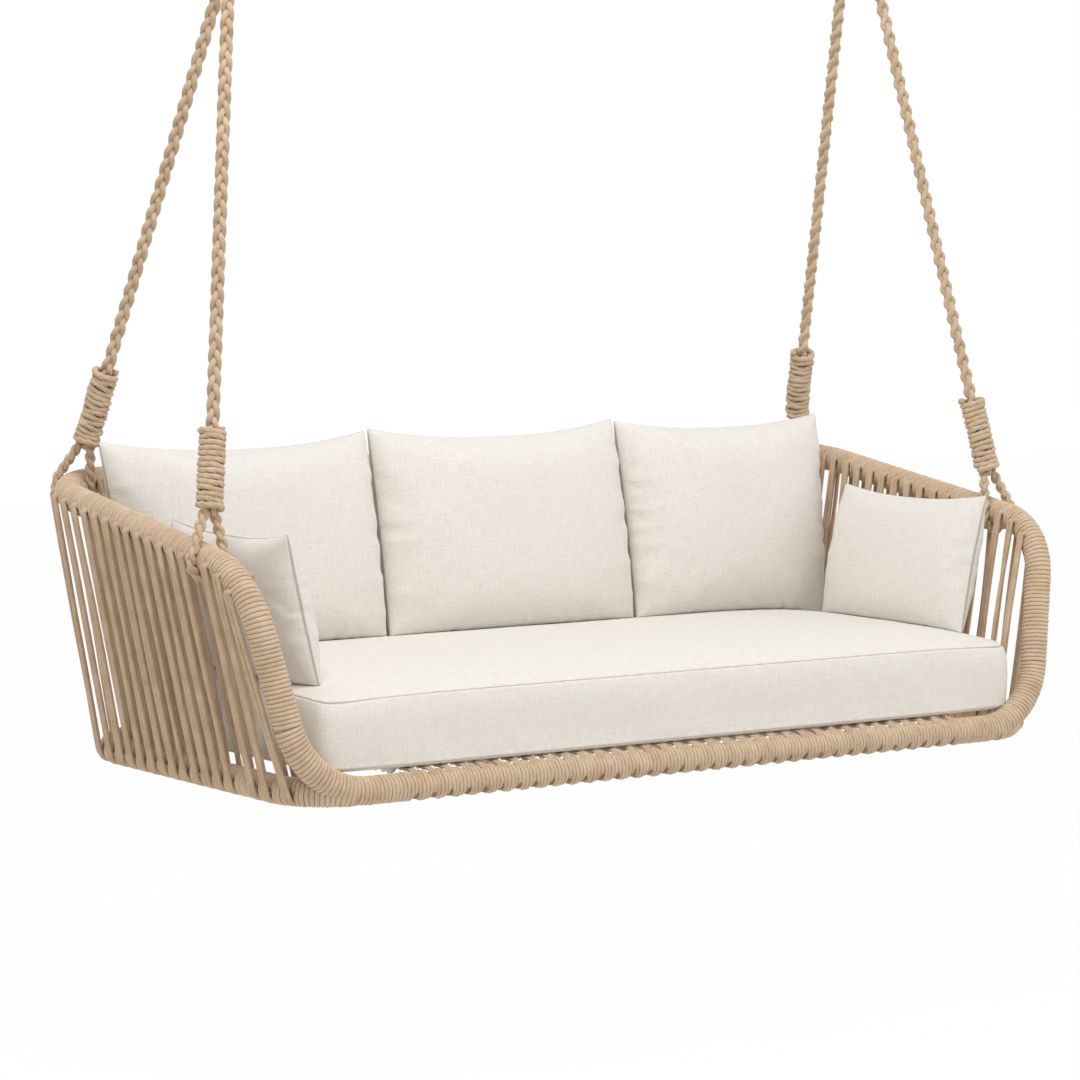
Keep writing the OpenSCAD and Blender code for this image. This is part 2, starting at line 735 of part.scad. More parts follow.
module filled_cushion(size, foot, o, axes) {
    outer = placed(pillow_skin(size, foot, outer_levels), o, axes);
    core = placed(pillow_skin(size - cover_t * [8, 8, 2], foot, inner_levels), o, axes);
    lift = lift_onto_seat(outer);
    translate([0, 0, lift]) difference() {
        polyhedron(outer, skin_faces(2 * len(outer_levels) - 1, pillow_sides));
        polyhedron(core, skin_faces(2 * len(inner_levels) - 1, pillow_sides));
    }
}

// Axes of a cushion that leans back by a and is turned by b about the vertical
function leaning_axes(a, b) = [
    [cos(b), sin(b), 0],
    [-sin(a) * sin(b), sin(a) * cos(b), cos(a)],
    [cos(a) * sin(b), -cos(a) * cos(b), sin(a)]
];

// Place of the middle of the centre back cushion, before it is set down on the seat
back_cushion_x = 31;
back_cushion_y = 757;
back_cushion_z = 400;
// Gap between two back cushions at their corners
back_cushion_gap = 3;
// How far the outer cushions' lower corners are drawn in where the basket narrows
outer_foot = 45;

module back_cushion(x, w, foot) {
    color(linen_colour) in_basket()
        filled_cushion([w, back_cushion_h, back_cushion_t], foot,
            [x, back_cushion_y, back_cushion_z], leaning_axes(back_cushion_lean, 0));
}

left_cushion_x = back_cushion_x - back_cushion_w - back_cushion_gap;
right_cushion_x = back_cushion_x + (back_cushion_w + right_cushion_w) / 2 + back_cushion_gap;

// Place of the middle of a side pillow, before it is set down on the seat: set in from the arm, and by a
// share of the side's flare, because it leans with the side
side_flare = arm_half - base_half;
pillow_inset = 124.2;
pillow_flare_share = 0.4;
pillow_x = arm_half - pillow_inset - pillow_flare_share * side_flare;
pillow_y = 362;
pillow_z = 340;
// The side pillows are turned a little, their back ends inward
pillow_turn = -89;

module side_pillow(side) {
    color(linen_colour) in_basket() on_side(side)
        filled_cushion([pillow_w, pillow_h, pillow_t], 0,
            [pillow_x, pillow_y, pillow_z],
            leaning_axes(pillow_lean + atan(side_flare / arm_front_height), pillow_turn));
}

hanger_plate(-1);  // hanger_plate_left
hanger_plate(1);  // hanger_plate_right
hinge_pin(-1);  // hinge_pin_left
hinge_pin(1);  // hinge_pin_right
hinge_bush(-1);  // hinge_bush_left
hinge_bush(1);  // hinge_bush_right
swing_link(-1);  // swing_link_left
swing_link(1);  // swing_link_right
rope_ring(-1);  // rope_ring_left
rope_ring(1);  // rope_ring_right
rope_eye(-1, 1);  // rope_eye_front_left
rope_eye(1, 1);  // rope_eye_front_right
rope_eye(-1, -1);  // rope_eye_back_left
rope_eye(1, -1);  // rope_eye_back_right
rope(-1, 1);  // rope_front_left
rope(1, 1);  // rope_front_right
rope(-1, -1);  // rope_back_left
rope(1, -1);  // rope_back_right
whipping(-1, 1);  // whipping_front_left
whipping(1, 1);  // whipping_front_right
whipping(-1, -1);  // whipping_back_left
whipping(1, -1);  // whipping_back_right
rope_loop(-1, 1);  // rope_loop_front_left
rope_loop(1, 1);  // rope_loop_front_right
rope_loop(-1, -1);  // rope_loop_back_left
rope_loop(1, -1);  // rope_loop_back_right
front_rail_tube();
arm_tube(-1);  // arm_tube_left
arm_tube(1);  // arm_tube_right
back_rail_tube();
base_tube(-1);  // base_tube_left
base_tube(1);  // base_tube_right
base_back_tube();
front_rail_winding();
arm_winding(-1);  // arm_winding_left
arm_winding(1);  // arm_winding_right
back_rail_winding();
base_winding(-1);  // base_winding_left
base_winding(1);  // base_winding_right
base_back_winding();
deck_bearer(bearer_places[0]);  // deck_bearer_left
deck_bearer(bearer_places[1]);  // deck_bearer_centre
deck_bearer(bearer_places[2]);  // deck_bearer_right
deck_cords();
side_strands(-1, 1);  // side_strands_outer_left
side_strands(1, 1);  // side_strands_outer_right
side_strands(-1, -1);  // side_strands_inner_left
side_strands(1, -1);  // side_strands_inner_right
back_strands(1);  // back_strands_outer
back_strands(-1);  // back_strands_inner
seat_cushion();
back_cushion(left_cushion_x, back_cushion_w, -outer_foot);  // back_cushion_left
back_cushion(back_cushion_x, back_cushion_w, 0);  // back_cushion_centre
back_cushion(right_cushion_x, right_cushion_w, outer_foot);  // back_cushion_right
side_pillow(-1);  // side_pillow_left
side_pillow(1);  // side_pillow_right
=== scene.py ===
# %% [markdown]
# # A hanging sofa, wound and strung with cord
# The sofa is a basket of bent tube. Cord is wound round every tube and strung between the rails, four
# plaited ropes carry it from two ceiling hangers, and loose cushions fill it. The solids come in as a fixed
# frame. Each cell adds one visible surface in the same metres, so nothing has to be fitted by eye.

# %% The frame
from types import SimpleNamespace

import bmesh
import bpy
import numpy as np
from mathutils import Matrix


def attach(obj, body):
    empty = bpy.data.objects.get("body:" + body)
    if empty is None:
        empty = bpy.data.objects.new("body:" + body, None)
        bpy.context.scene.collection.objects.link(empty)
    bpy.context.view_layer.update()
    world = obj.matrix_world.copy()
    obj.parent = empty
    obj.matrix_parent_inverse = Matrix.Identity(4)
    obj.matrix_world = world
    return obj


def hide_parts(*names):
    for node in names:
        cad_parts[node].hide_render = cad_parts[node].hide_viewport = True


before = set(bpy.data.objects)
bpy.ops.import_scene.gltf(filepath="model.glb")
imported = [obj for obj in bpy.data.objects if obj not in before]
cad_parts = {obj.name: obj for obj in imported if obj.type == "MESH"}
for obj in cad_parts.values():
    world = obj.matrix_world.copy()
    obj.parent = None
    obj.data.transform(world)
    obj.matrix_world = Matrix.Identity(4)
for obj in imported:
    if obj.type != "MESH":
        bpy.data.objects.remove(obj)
bpy.context.scene.view_settings.view_transform = "Standard"
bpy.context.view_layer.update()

# %% [markdown]
# ## Camera
# The picture is a product photograph taken from the front left with a long lens. Some forty points on the
# rails and the ropes gave the camera's place and focal length, which is easier to trust than turning a
# camera by eye. The basket is easiest to describe from the middle of its front rail, so BASKET moves such a
# place under the ceiling.

# %% Camera
BASKET = np.array([0.0, -0.465, -2.0])
CAMERA = np.array([-4.7249, -6.4149, 1.1392]) + BASKET
YAW, PITCH, ROLL = 0.5952, 0.0856, -0.002
PICTURE, FOCAL, SENSOR = 1080, 3854.5, 36.0


def put(holder, x, y, z, place):
    """Links a camera or a lamp into the scene at a place, with its X, Y and Z along three unit vectors."""
    stand = np.eye(4)
    stand[:3, :] = np.stack([x, y, z, place], axis=1)
    holder.matrix_world = Matrix(stand.tolist())
    bpy.context.collection.objects.link(holder)


forward = np.array([np.sin(YAW) * np.cos(PITCH), np.cos(YAW) * np.cos(PITCH), -np.sin(PITCH)])
level = np.array([np.cos(YAW), -np.sin(YAW), 0.0])
rightward = level * np.cos(ROLL) + np.cross(level, forward) * np.sin(ROLL)
lens = bpy.data.cameras.new("picture_camera")
lens.sensor_width = SENSOR
lens.lens = SENSOR * FOCAL / PICTURE
lens.clip_end = 60.0
camera = bpy.data.objects.new("picture_camera", lens)
put(camera, rightward, np.cross(rightward, forward), -forward, CAMERA)
bpy.context.scene.camera = camera
print("lens", round(lens.lens, 1), "mm from", np.round(CAMERA, 2))

# %% [markdown]
# ## Colours and shader nodes
# Every colour is written as it looks on a screen, and one function turns it to the linear values that light
# needs. One more function adds a shader node with its settings and links, which keeps each material to a
# few lines.

# %% Colour and node helpers


def colour(code):
    """A screen colour such as D8C3A8 in linear light: each share c becomes ((c + 0.055) / 1.055) ** 2.4."""
    shares = np.array([int(code[i:i + 2], 16) for i in (0, 2, 4)]) / 255
    light = np.where(shares <= 0.04045, shares / 12.92, ((shares + 0.055) / 1.055) ** 2.4)
    return (*light.tolist(), 1.0)


def add(tree, kind, facts, output=0):
    """Adds one node and gives back one of its outputs.

    Each fact is a property of the node, or else an input, which takes a value or another node's output.
    """
    node = tree.nodes.new("ShaderNode" + kind)
    for key, value in facts.items():
        if isinstance(key, str) and hasattr(node, key):
            setattr(node, key, value)
        elif isinstance(value, bpy.types.NodeSocket):
            tree.links.new(value, node.inputs[key])
        else:
            node.inputs[key].default_value = value
    return node.outputs[output]


def figure(tree, operation, *values):
    """A number worked out from the values in their order. MULTIPLY_ADD is first times second plus third."""
    return add(tree, "Math", {"operation": operation, **dict(enumerate(values))})


def ramp(tree, source, stops):
    """A colour ramp with a stop (place, colour) for each of stops."""
    tint = add(tree, "ValToRGB", {"Fac": source}, "Color")
    points = tint.node.color_ramp.elements
    while len(points) < len(stops):
        points.new(0.5)
    for point, (place, code) in zip(points, stops):
        point.position, point.color = place, colour(code)
    return tint


def noise(tree, place, scale, detail, **more):
    """Noise between 0 and 1 at a place, with scale lumps to a unit of it."""
    return add(tree, "TexNoise", {"Scale": scale, "Detail": detail, "Vector": place, **more}, "Fac")


def stretched(tree, place, scale):
    """A place with each of its coordinates multiplied, which squeezes a pattern along it."""
    return add(tree, "Mapping", {"Scale": scale, "Vector": place})


def empty_tree(owner):
    """The node tree of a new material or world, with nothing in it."""
    owner.use_nodes = True
    owner.node_tree.nodes.clear()
    return owner.node_tree


def show(tree, shader, kind="OutputMaterial"):
    """Joins a shader to the output of its tree."""
    tree.links.new(shader, tree.nodes.new("ShaderNode" + kind).inputs["Surface"])


print("mid cord colour in linear light:", np.round(colour("C9AE8E")[:3], 3))

# %% [markdown]
# ## Light and floor
# The photograph has a pure pale ground with no edge and hardly a shadow, as in a light tent. A large soft
# lamp above the front left, a weak one from the right and a pale world do the same. The floor lies well
# below the sofa, and the camera sees most of it as plain white, so that its shadow stays faint.

# %% Light and floor
WHITE, TENT = (1.0, 1.0, 1.0, 1.0), (1.0, 0.99, 0.975, 1.0)
TENT_STRENGTH, GLOW_SHARE = 0.62, 0.97


def any_ray(tree, kinds):
    """1 for the rays of these kinds and 0 for all others: the highest of the kinds' own shares."""
    path = tree.nodes.new("ShaderNodeLightPath")
    shares = [path.outputs[f"Is {kind} Ray"] for kind in kinds]
    highest = shares[0]
    for share in shares[1:]:
        highest = figure(tree, "MAXIMUM", highest, share)
    return highest


world = bpy.data.worlds.new("light_tent")
bpy.context.scene.world = world
tree = empty_tree(world)
seen = any_ray(tree, ("Camera", "Glossy", "Transmission"))
tent = add(tree, "Background", {"Color": TENT, "Strength": TENT_STRENGTH})
white = add(tree, "Background", {"Color": WHITE, "Strength": 1.0})
show(tree, add(tree, "MixShader", {0: seen, 1: tent, 2: white}), "OutputWorld")

paper = bpy.data.materials.new("pale_studio_paper")
tree = empty_tree(paper)
share = figure(tree, "MULTIPLY", any_ray(tree, ("Camera", "Glossy")), GLOW_SHARE)
matt = add(tree, "BsdfDiffuse", {"Color": colour("F2F0ED")})
glow = add(tree, "Emission", {"Color": WHITE, "Strength": 1.0})
show(tree, add(tree, "MixShader", {0: share, 1: matt, 2: glow}))

FLOOR, FLOOR_HALF = -2.62, 14.0
corners = [(x * FLOOR_HALF, y * FLOOR_HALF, FLOOR) for x, y in ((-1, -1), (1, -1), (1, 1), (-1, 1))]
mesh = bpy.data.meshes.new("studio_floor")
mesh.from_pydata(corners, [], [(0, 1, 2, 3)])
mesh.materials.append(paper)
floor = bpy.data.objects.new("studio_floor", mesh)
bpy.context.collection.objects.link(floor)

LAMP_SIZE, AIM = 3.0, (0.0, 0.0, -1.7)


def soft_lamp(name, place, power):
    """A white square lamp at a place, turned so that it points along the line from that place to AIM."""
    lamp = bpy.data.lights.new(name, "AREA")
    lamp.size, lamp.energy = LAMP_SIZE, power
    away = np.subtract(place, AIM)
    away /= np.linalg.norm(away)
    side = np.cross([0, 0, 1], away)
    side /= np.linalg.norm(side)
    put(bpy.data.objects.new(name, lamp), side, np.cross(away, side), away, place)


soft_lamp("key_softbox", (-1.8, -2.2, 3.4), 178)
soft_lamp("fill_softbox", (4.2, -2.4, 0.4), 40)
print("floor at", FLOOR, "m and", len(bpy.data.lights), "soft lamps")

# %% [markdown]
# ## Surfaces from numbers
# Everything on this sofa is either a cord swept along a line or a filled skin, so two tools are enough. One
# carries a profile along many paths at once. The other turns a grid of points into a closed mesh with a UV
# map in metres, which lets a pattern run along a cord wherever the cord goes. Whole arrays are far quicker
# than visiting each point.

# %% Sweeping a profile along paths


def unit(v):
    """Each vector divided by its own length."""
    return v / np.linalg.norm(v, axis=-1, keepdims=True)


def directions(path):
    """The direction of a path at each of its points: the step between its neighbours, made a unit vector."""
    return unit(np.gradient(path, axis=-2))


def run_of(path):
    """Distance along a path to each of its points: the running sum of the steps between them."""
    steps = np.linalg.norm(np.diff(path, axis=-2), axis=-1)
    return np.concatenate([np.zeros(steps.shape[:-1] + (1,)), np.cumsum(steps, axis=-1)], axis=-1)


def cross_axes(path, lead):
    """Two unit vectors across a path: lead less its part along the path, and one at right angles to both."""
    t = directions(path)
    lead = np.broadcast_to(lead, path.shape)
    a = unit(lead - (lead * t).sum(-1, keepdims=True) * t)
    return a, np.cross(t, a)


def swept(path, lead, radius, sides):
    """A tube round a path: path + r (a cos w + b sin w), where a and b go across it.

    The radius may be one number, or one for each point, or one for each point and side.
    """
    a, b = cross_axes(path, lead)
    w = np.arange(sides) * 2 * np.pi / sides
    r = np.broadcast_to(radius, path.shape[:-1] + (sides,))[..., None]
    ring = a[..., None, :] * np.cos(w)[:, None] + b[..., None, :] * np.sin(w)[:, None]
    return path[..., None, :] + r * ring


# %% Grids to meshes


def settle(mesh, body, nodes, material):
    """Puts a finished mesh in the scene, on its body, in the place of the solids that it stands for."""
    piece = bpy.data.objects.new(mesh.name, mesh)
    bpy.context.collection.objects.link(piece)
    mesh.materials.append(material)
    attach(piece, body)
    if nodes:
        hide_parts(*nodes)
    return piece


def faces_to_mesh(name, points, faces, uv):
    """A smooth mesh from points, faces as lists of point numbers, and a UV pair for each corner of a face."""
    mesh = bpy.data.meshes.new(name)
    mesh.from_pydata(points.tolist(), [], faces)
    layer = mesh.uv_layers.new(name="run")
    layer.data.foreach_set("uv", np.asarray(uv, np.float32).ravel())
    mesh.polygons.foreach_set("use_smooth", np.ones(len(faces), bool))
    mesh.update()
    return mesh


def tubes_to_mesh(name, grid, along, around):
    """Tubes from a grid [tube, ring, side, xyz]: quads between neighbours, and a many-sided face at each end.

    The UV is (distance along, distance round). Each side's last quad closes on its first one.
    """
    m, n, k = grid.shape[:3]
    tube, ring, side = np.meshgrid(np.arange(m), np.arange(n - 1), np.arange(k), indexing="ij")
    first, after = (tube * n + ring) * k, (side + 1) % k
    quads = np.stack([first + side, first + after, first + k + after, first + k + side], axis=-1)
    u = np.broadcast_to(along, (m, n))
    v = np.arange(k + 1) * around / k
    u0, u1 = u[tube, ring], u[tube, ring + 1]
    uv = np.stack([u0, v[side], u0, v[side + 1], u1, v[side + 1], u1, v[side]], axis=-1).reshape(-1, 2)
    starts = np.arange(m)[:, None] * n * k
    caps = (starts + np.arange(k)[::-1]).tolist() + (starts + (n - 1) * k + np.arange(k)).tolist()
    cap_uv = np.repeat(np.stack([u[:, 0], u[:, -1]]).reshape(-1), k)
    uv = np.concatenate([uv, np.stack([cap_uv, np.zeros_like(cap_uv)], axis=-1)])
    return faces_to_mesh(name, grid.reshape(-1, 3), quads.reshape(-1, 4).tolist() + caps, uv)


def triangles(piece):
    """How many triangles a piece's faces make: two fewer than the corners of each."""
    return sum(len(p.vertices) - 2 for p in piece.data.polygons)


print("a ring of four:", swept(np.array([[0, 0, 0], [0, 0, 1.0]]), [1, 0, 0], 0.5, 4)[0].round(2).tolist())

# %% [markdown]
# ## Rails
# All the tubes follow a few lines: straight runs with round bends. The upper rail goes up the post, along
# the arm and round into the back rail, the lower rail goes round the base, and the front rail turns up into
# both posts. Only the right half is written down, because the basket is its own mirror image.

# %% Lines of the rails


def bent_line(corners, radii):
    """A line through corners with a round bend at each inner one: straight runs and arcs in one-degree steps.

    A bend of radius r at corner b starts r / tan(half the corner's angle) before b, and its centre lies
    r / sin(half the angle) from b along the line that halves the corner.
    """
    corners = np.array(corners, float)
    line = [corners[:1]]
    for a, b, c, r in zip(corners[:-2], corners[1:-1], corners[2:], radii):
        p, q = unit(a - b), unit(c - b)
        half = np.arccos(p @ q) / 2
        centre = b + unit(p + q) * r / np.sin(half)
        x = unit(b + p * r / np.tan(half) - centre)
        y = unit(np.cross(np.cross(x, b + q * r / np.tan(half) - centre), x))
        w = np.linspace(0, np.pi - 2 * half, int(np.degrees(np.pi - 2 * half)) + 2)[:, None]
        line.append(centre + r * (x * np.cos(w) + y * np.sin(w)))
    line.append(corners[-1:])
    line = np.concatenate(line)
    far = np.concatenate([[True], np.linalg.norm(np.diff(line, axis=0), axis=1) > 1e-7])
    return line[far]


def at(line, s):
    """The points of a line at distances s from its start, each coordinate read off between its points."""
    runs = run_of(line)
    return np.stack([np.interp(s, runs, line[:, j]) for j in range(3)], axis=-1)


def heading(line, s):
    """The direction of a line at distances s: from 3 mm before to 3 mm after."""
    s = np.clip(s, 0.003, run_of(line)[-1] - 0.003)
    return unit(at(line, s + 0.003) - at(line, s - 0.003))


FRONT_CORNER, ARM_CORNER = [0.930, 0.0, 0.0], [1.022, 0.074, 0.430]
BACK_CORNER, BACK_MIDDLE = [1.022, 0.955, 0.563], [0.0, 0.955, 0.563]
BASE_CORNER, BASE_MIDDLE, FRONT_MIDDLE = [0.930, 0.955, 0.0], [0.0, 0.955, 0.0], [0.0, 0.0, 0.0]
ARM_BEND, CORNER_BEND, FOOT_BEND, BASE_BEND, BASE_FRONT_BEND = 0.160, 0.180, 0.170, 0.200, 0.120
WOUND_R = 0.029

upper = bent_line([FRONT_CORNER, ARM_CORNER, BACK_CORNER, BACK_MIDDLE], [ARM_BEND, CORNER_BEND])
lower = bent_line([FRONT_MIDDLE, FRONT_CORNER, BASE_CORNER, BASE_MIDDLE], [BASE_FRONT_BEND, BASE_BEND])
foot = bent_line([FRONT_MIDDLE, FRONT_CORNER, ARM_CORNER], [FOOT_BEND])
upper_length, lower_length = run_of(upper)[-1], run_of(lower)[-1]
print("upper rail", upper_length.round(3), "m, lower rail", lower_length.round(3), "m")

# %% [markdown]
# The places along a rail where a bend starts or ends are needed for the strands and the ropes. A corner's
# bend takes up the same length of both straight runs beside it, so each place is a plain sum.

# %% Places along the rails


def bend_span(a, b, c, r):
    """How far before corner b its bend starts, r / tan(half the angle), and the length of its arc."""
    a, b, c = (np.array(p, float) for p in (a, b, c))
    half = np.arccos(unit(a - b) @ unit(c - b)) / 2
    return r / np.tan(half), r * (np.pi - 2 * half)


post = np.linalg.norm(np.subtract(ARM_CORNER, FRONT_CORNER))
arm_start = post - bend_span(FRONT_CORNER, ARM_CORNER, BACK_CORNER, ARM_BEND)[0]
corner_setback, corner_arc = bend_span(ARM_CORNER, BACK_CORNER, BACK_MIDDLE, CORNER_BEND)
corner_end = upper_length - ARM_CORNER[0] + corner_setback
corner_start = corner_end - corner_arc
corner_mid = (corner_start + corner_end) / 2
base_end = lower_length - FRONT_CORNER[0] + BASE_BEND
base_start = base_end - BASE_BEND * np.pi / 2
foot_setback = bend_span(FRONT_MIDDLE, FRONT_CORNER, ARM_CORNER, FOOT_BEND)[0]
FRONT_ROPE, BACK_ROPE = 0.235, 0.943
ROPE_RUNS = {"front": arm_start + FRONT_ROPE, "back": arm_start + BACK_ROPE}
print("arm bend from", arm_start.round(3), "corner from", corner_start.round(3), "to", corner_end.round(3))

# %% [markdown]
# ## Strands between the rails
# The infill is pairs of soft thick cords. Each pair hangs from the upper rail to the lower one, in an outer
# layer and an inner one. On the left the inner pairs hang between the outer ones, and on the right level
# with them, as the photograph shows. The pairs could be flat bands, but the cords roll over one another
# here and there. So each cord is a swept tube of its own, and the pair is turned a little along its length.
# At a rail the cords follow the round of it and dive under the winding.

# %% Strand places
STRAND_PITCH, STRAND_START = 0.047, 0.100
CORD_D, THIN_CORD_D, THIN_PITCH = 0.0100, 0.0052, 0.0051
BAND_HALF, BAND_GAP = 0.0025, 0.0016
STRAND_OFF = WOUND_R + BAND_HALF + BAND_GAP
FIRST_ON_BEND = 0.7
LEG_HALF, STRAND_HALF, LEG_GAP = 0.0085, 0.0075, 0.007
ROPE_ROOM = LEG_HALF + STRAND_HALF + LEG_GAP

side_from = arm_start + STRAND_START
lower_from = FRONT_CORNER[0] - BASE_FRONT_BEND + FIRST_ON_BEND * BASE_FRONT_BEND * np.pi / 2
side_count = int(round((corner_mid - side_from) / STRAND_PITCH))
back_count = int(round((upper_length - corner_mid) / STRAND_PITCH))
back_pitch = (upper_length - corner_mid) / back_count
deck_pitch = back_pitch * (lower_length - base_end) / (upper_length - corner_end)


def lower_place(s):
    """The place on the lower rail under place s of the upper one, run under run and bend under bend."""
    return np.interp(s, [side_from, corner_start, corner_end, upper_length],
                     [lower_from, base_start, base_end, lower_length])


def clear_of_ropes(s):
    """Whether a strand at place s leaves room for a rope's leg, half its own width and a gap between them."""
    return np.all([np.abs(s - run) > ROPE_ROOM for run in ROPE_RUNS.values()], axis=0)


side_places, back_places = {}, {}
for key, shift in (((1, "left"), 0.0), ((1, "right"), 0.0), ((-1, "left"), 0.5), ((-1, "right"), 0.0)):
    s = side_from + (corner_mid - side_from) * (np.arange(side_count) + shift) / side_count
    side_places[key] = s[clear_of_ropes(s)]
for layer, shift in ((1, 0.0), (-1, 0.5)):
    s = upper_length - (np.arange(back_count + 1) + shift) * back_pitch
    back_places[layer] = s[(s >= corner_mid) & clear_of_ropes(s)]
print("strands on a side:", [len(p) for p in side_places.values()],
      "on half the back:", [len(p) for p in back_places.values()])

# %% Strand shapes
DIVE, DIVE_UP, DIVE_DEPTH = np.radians(48), np.radians(16), 0.0085
ARC, RUN = 5, 13
PAIR, SPREAD = (-0.5, 0.5), 0.0098
SWING, DRIFT, SWAY = 1.0, 0.0034, 0.0012
rng = np.random.default_rng(7)


def strand_lines(s, layer):
    """Centre lines of strands from places s of the upper rail to the lower one, and two directions across.

    Each line is an arc of DIVE_UP round the upper rail's centre, a straight run, and an arc of DIVE round the
    lower rail's. An arc's radius falls by DIVE_DEPTH towards its end, to 4.4 mm less than the winding's, so
    that the ends lie under it.
    """
    t = lower_place(s)
    a, b = at(upper, s) + BASKET, at(lower, t) + BASKET
    ta, tb = heading(upper, s), heading(lower, t)
    d = unit(b - a)
    across = unit(ta + tb - ((ta + tb) * d).sum(-1, keepdims=True) * d)
    na, nb = unit(np.cross(d, ta)) * layer, unit(np.cross(d, tb)) * layer
    up_a = unit(-d - (-d * ta).sum(-1, keepdims=True) * ta)
    up_b = unit(d - (d * tb).sum(-1, keepdims=True) * tb)
    w = np.linspace(1, 0, ARC + 1)[:-1, None]
    r = STRAND_OFF - DIVE_DEPTH * w ** 1.6
    top = a[:, None] + r * (na[:, None] * np.cos(w * DIVE_UP) + up_a[:, None] * np.sin(w * DIVE_UP))
    low = b[:, None] + (r * (nb[:, None] * np.cos(w * DIVE) + up_b[:, None] * np.sin(w * DIVE)))[:, ::-1]
    q = np.linspace(0, 1, RUN)[:, None]
    run = (a + na * STRAND_OFF)[:, None] * (1 - q) + (b + nb * STRAND_OFF)[:, None] * q
    return np.concatenate([top, run, low], axis=1), across, np.cross(d, across)


def bundle(line, across, outward, rng, sides=PAIR, spread=SPREAD):
    """Cords side by side along each line, the bundle turned by an angle that swells and fades along it.

    A cord stands e spread cos(swing) + drift + its own sway across the line, and 0.55 e spread sin(swing) out
    of it. Swing, drift and sway are sines that end with the straight run, each with a random height.
    """
    m, n = line.shape[:2]
    q = np.clip((np.arange(n) - (ARC - 0.5)) / (n - 2 * ARC), 0, 1)
    arch = np.sin(np.pi * q)[None, :]
    hold = arch ** 0.6
    swing = rng.normal(0, SWING, (m, 1))
    swing = swing * np.sin(np.pi * (rng.uniform(0.6, 2.2, (m, 1)) * q + rng.uniform(0, 1, (m, 1)))) * hold
    drift = rng.normal(0, DRIFT, (m, 1)) * arch
    cords = []
    for e in sides:
        sway = rng.normal(0, SWAY, (m, 1))
        sway = sway * np.sin(np.pi * (2 * q[None, :] + rng.uniform(0, 1, (m, 1)))) * hold
        x = e * spread * np.cos(swing) + drift + sway
        y = e * spread * np.sin(swing) * 0.55
        cords.append(line + x[..., None] * across[:, None] + y[..., None] * outward[:, None])
    return np.concatenate(cords)


def mirrored(grid):
    """A grid [tube, ring, side] with X turned round, its sides in reverse so that faces still point out."""
    return (grid * [-1, 1, 1])[:, :, ::-1]


print("one side strand is", run_of(strand_lines(side_places[1, "left"][:1], 1)[0])[0, -1].round(3), "m long")

# %% [markdown]
# ## Cord material
# The cord is solution-dyed olefin yarn, braided and matt, in a warm sand colour. Fine yarns run along it,
# so light breaks into short streaks, and the dye varies a little from cord to cord. A painted picture could
# show this, but the UV map already runs along each cord in metres, so noise that is stretched along it does
# the same at any distance.

# %% Cord material


def cord_material(name, dark, mid, light, lay, relief, groove=None, yarn=0.0014):
    """Matt yarn: streaks along the cord a yarn wide, slanting lay lines, and slow changes of dye.

    Where a mesh says how high each point stands on its turn, the colour is groove's low down, as painted
    shade.
    """
    material = bpy.data.materials.new(name)
    tree = empty_tree(material)
    run = add(tree, "UVMap", {"uv_map": "run"})
    place = add(tree, "TexCoord", {}, "Object")
    streak = noise(tree, stretched(tree, run, (0.12 / yarn, 1 / yarn, 1.0)), 1.0, 3.0, Roughness=0.6)
    slant = stretched(tree, run, (1 / lay, 0.7 / lay, 1.0))
    twist = add(tree, "TexWave", {"wave_type": "BANDS", "bands_direction": "DIAGONAL", "Scale": 0.31,
                                  "Distortion": 1.2, "Detail": 1.0, "Vector": slant}, "Fac")
    dye = noise(tree, place, 26.0, 2.0)
    both = figure(tree, "MULTIPLY_ADD", streak, 0.55, figure(tree, "MULTIPLY", dye, 0.45))
    tint = ramp(tree, both, [(0.3, dark), (0.5, mid), (0.7, light)])
    # Painted shade: the groove colour darkens the cord where the mesh marks it low, in grooves and notches.
    if groove:
        unshaded = add(tree, "Attribute", {"attribute_name": "unshaded"}, "Fac")
        share = add(tree, "MapRange", {"interpolation_type": "SMOOTHSTEP", "From Max": 0.72, "Value": unshaded})
        blend = {"data_type": "RGBA", "A": colour(groove), "Factor": share, "B": tint}
        tint = add(tree, "Mix", blend, "Result")
    height = figure(tree, "MULTIPLY_ADD", streak, 0.6, twist)
    bump = add(tree, "Bump", {"Strength": 0.7, "Distance": relief, "Height": height})
    show(tree, add(tree, "BsdfPrincipled", {"Roughness": 0.86, "Specular IOR Level": 0.22,
                                            "Sheen Weight": 0.25, "Sheen Roughness": 0.5,
                                            "Base Color": tint, "Normal": bump}))
    return material


# The winding's 7C6149 is painted shade for its grooves and notches.
winding_finish = cord_material("olefin_cord_wound", "BBA084", "CFB699", "DFC9B0", 0.0070, 0.0005, "7C6149")
strand_finish = cord_material("olefin_cord_strung", "B79B7E", "CAB093", "DBC5AB", 0.0070, 0.0005)
rope_finish = cord_material("olefin_rope_plaited", "B59A7E", "CBB295", "DDC8AF", 0.0080, 0.0006)
print("cord materials:", winding_finish.name, strand_finish.name, rope_finish.name)

# %% [markdown]
# ## Infill
# Now the bundles become meshes, one for each layer of a side or the back. A cord is a nine-sided tube of
# twenty-three rings, which is round enough at its real 10 mm, and there are hundreds of them.

# %% Side and back strands


def strand_piece(name, groups):
    """One mesh of all the cords of a layer. Each group is places, layer, and whether it goes to the left."""
    grids, runs = [], []
    for places, layer, left in groups:
        cords = bundle(*strand_lines(places, layer), rng)
        grid = swept(cords, [0.31, 0.22, 0.1], CORD_D / 2, 9)
        grids.append(mirrored(grid) if left else grid)
        runs.append(run_of(cords) + rng.uniform(0, 5, (len(cords), 1)))
    mesh = tubes_to_mesh(name + "_cords", np.concatenate(grids), np.concatenate(runs), CORD_D * np.pi)
    piece = settle(mesh, "sofa", [name], strand_finish)
    print(piece.name, sum(len(grid) for grid in grids), "cords,", triangles(piece), "triangles")


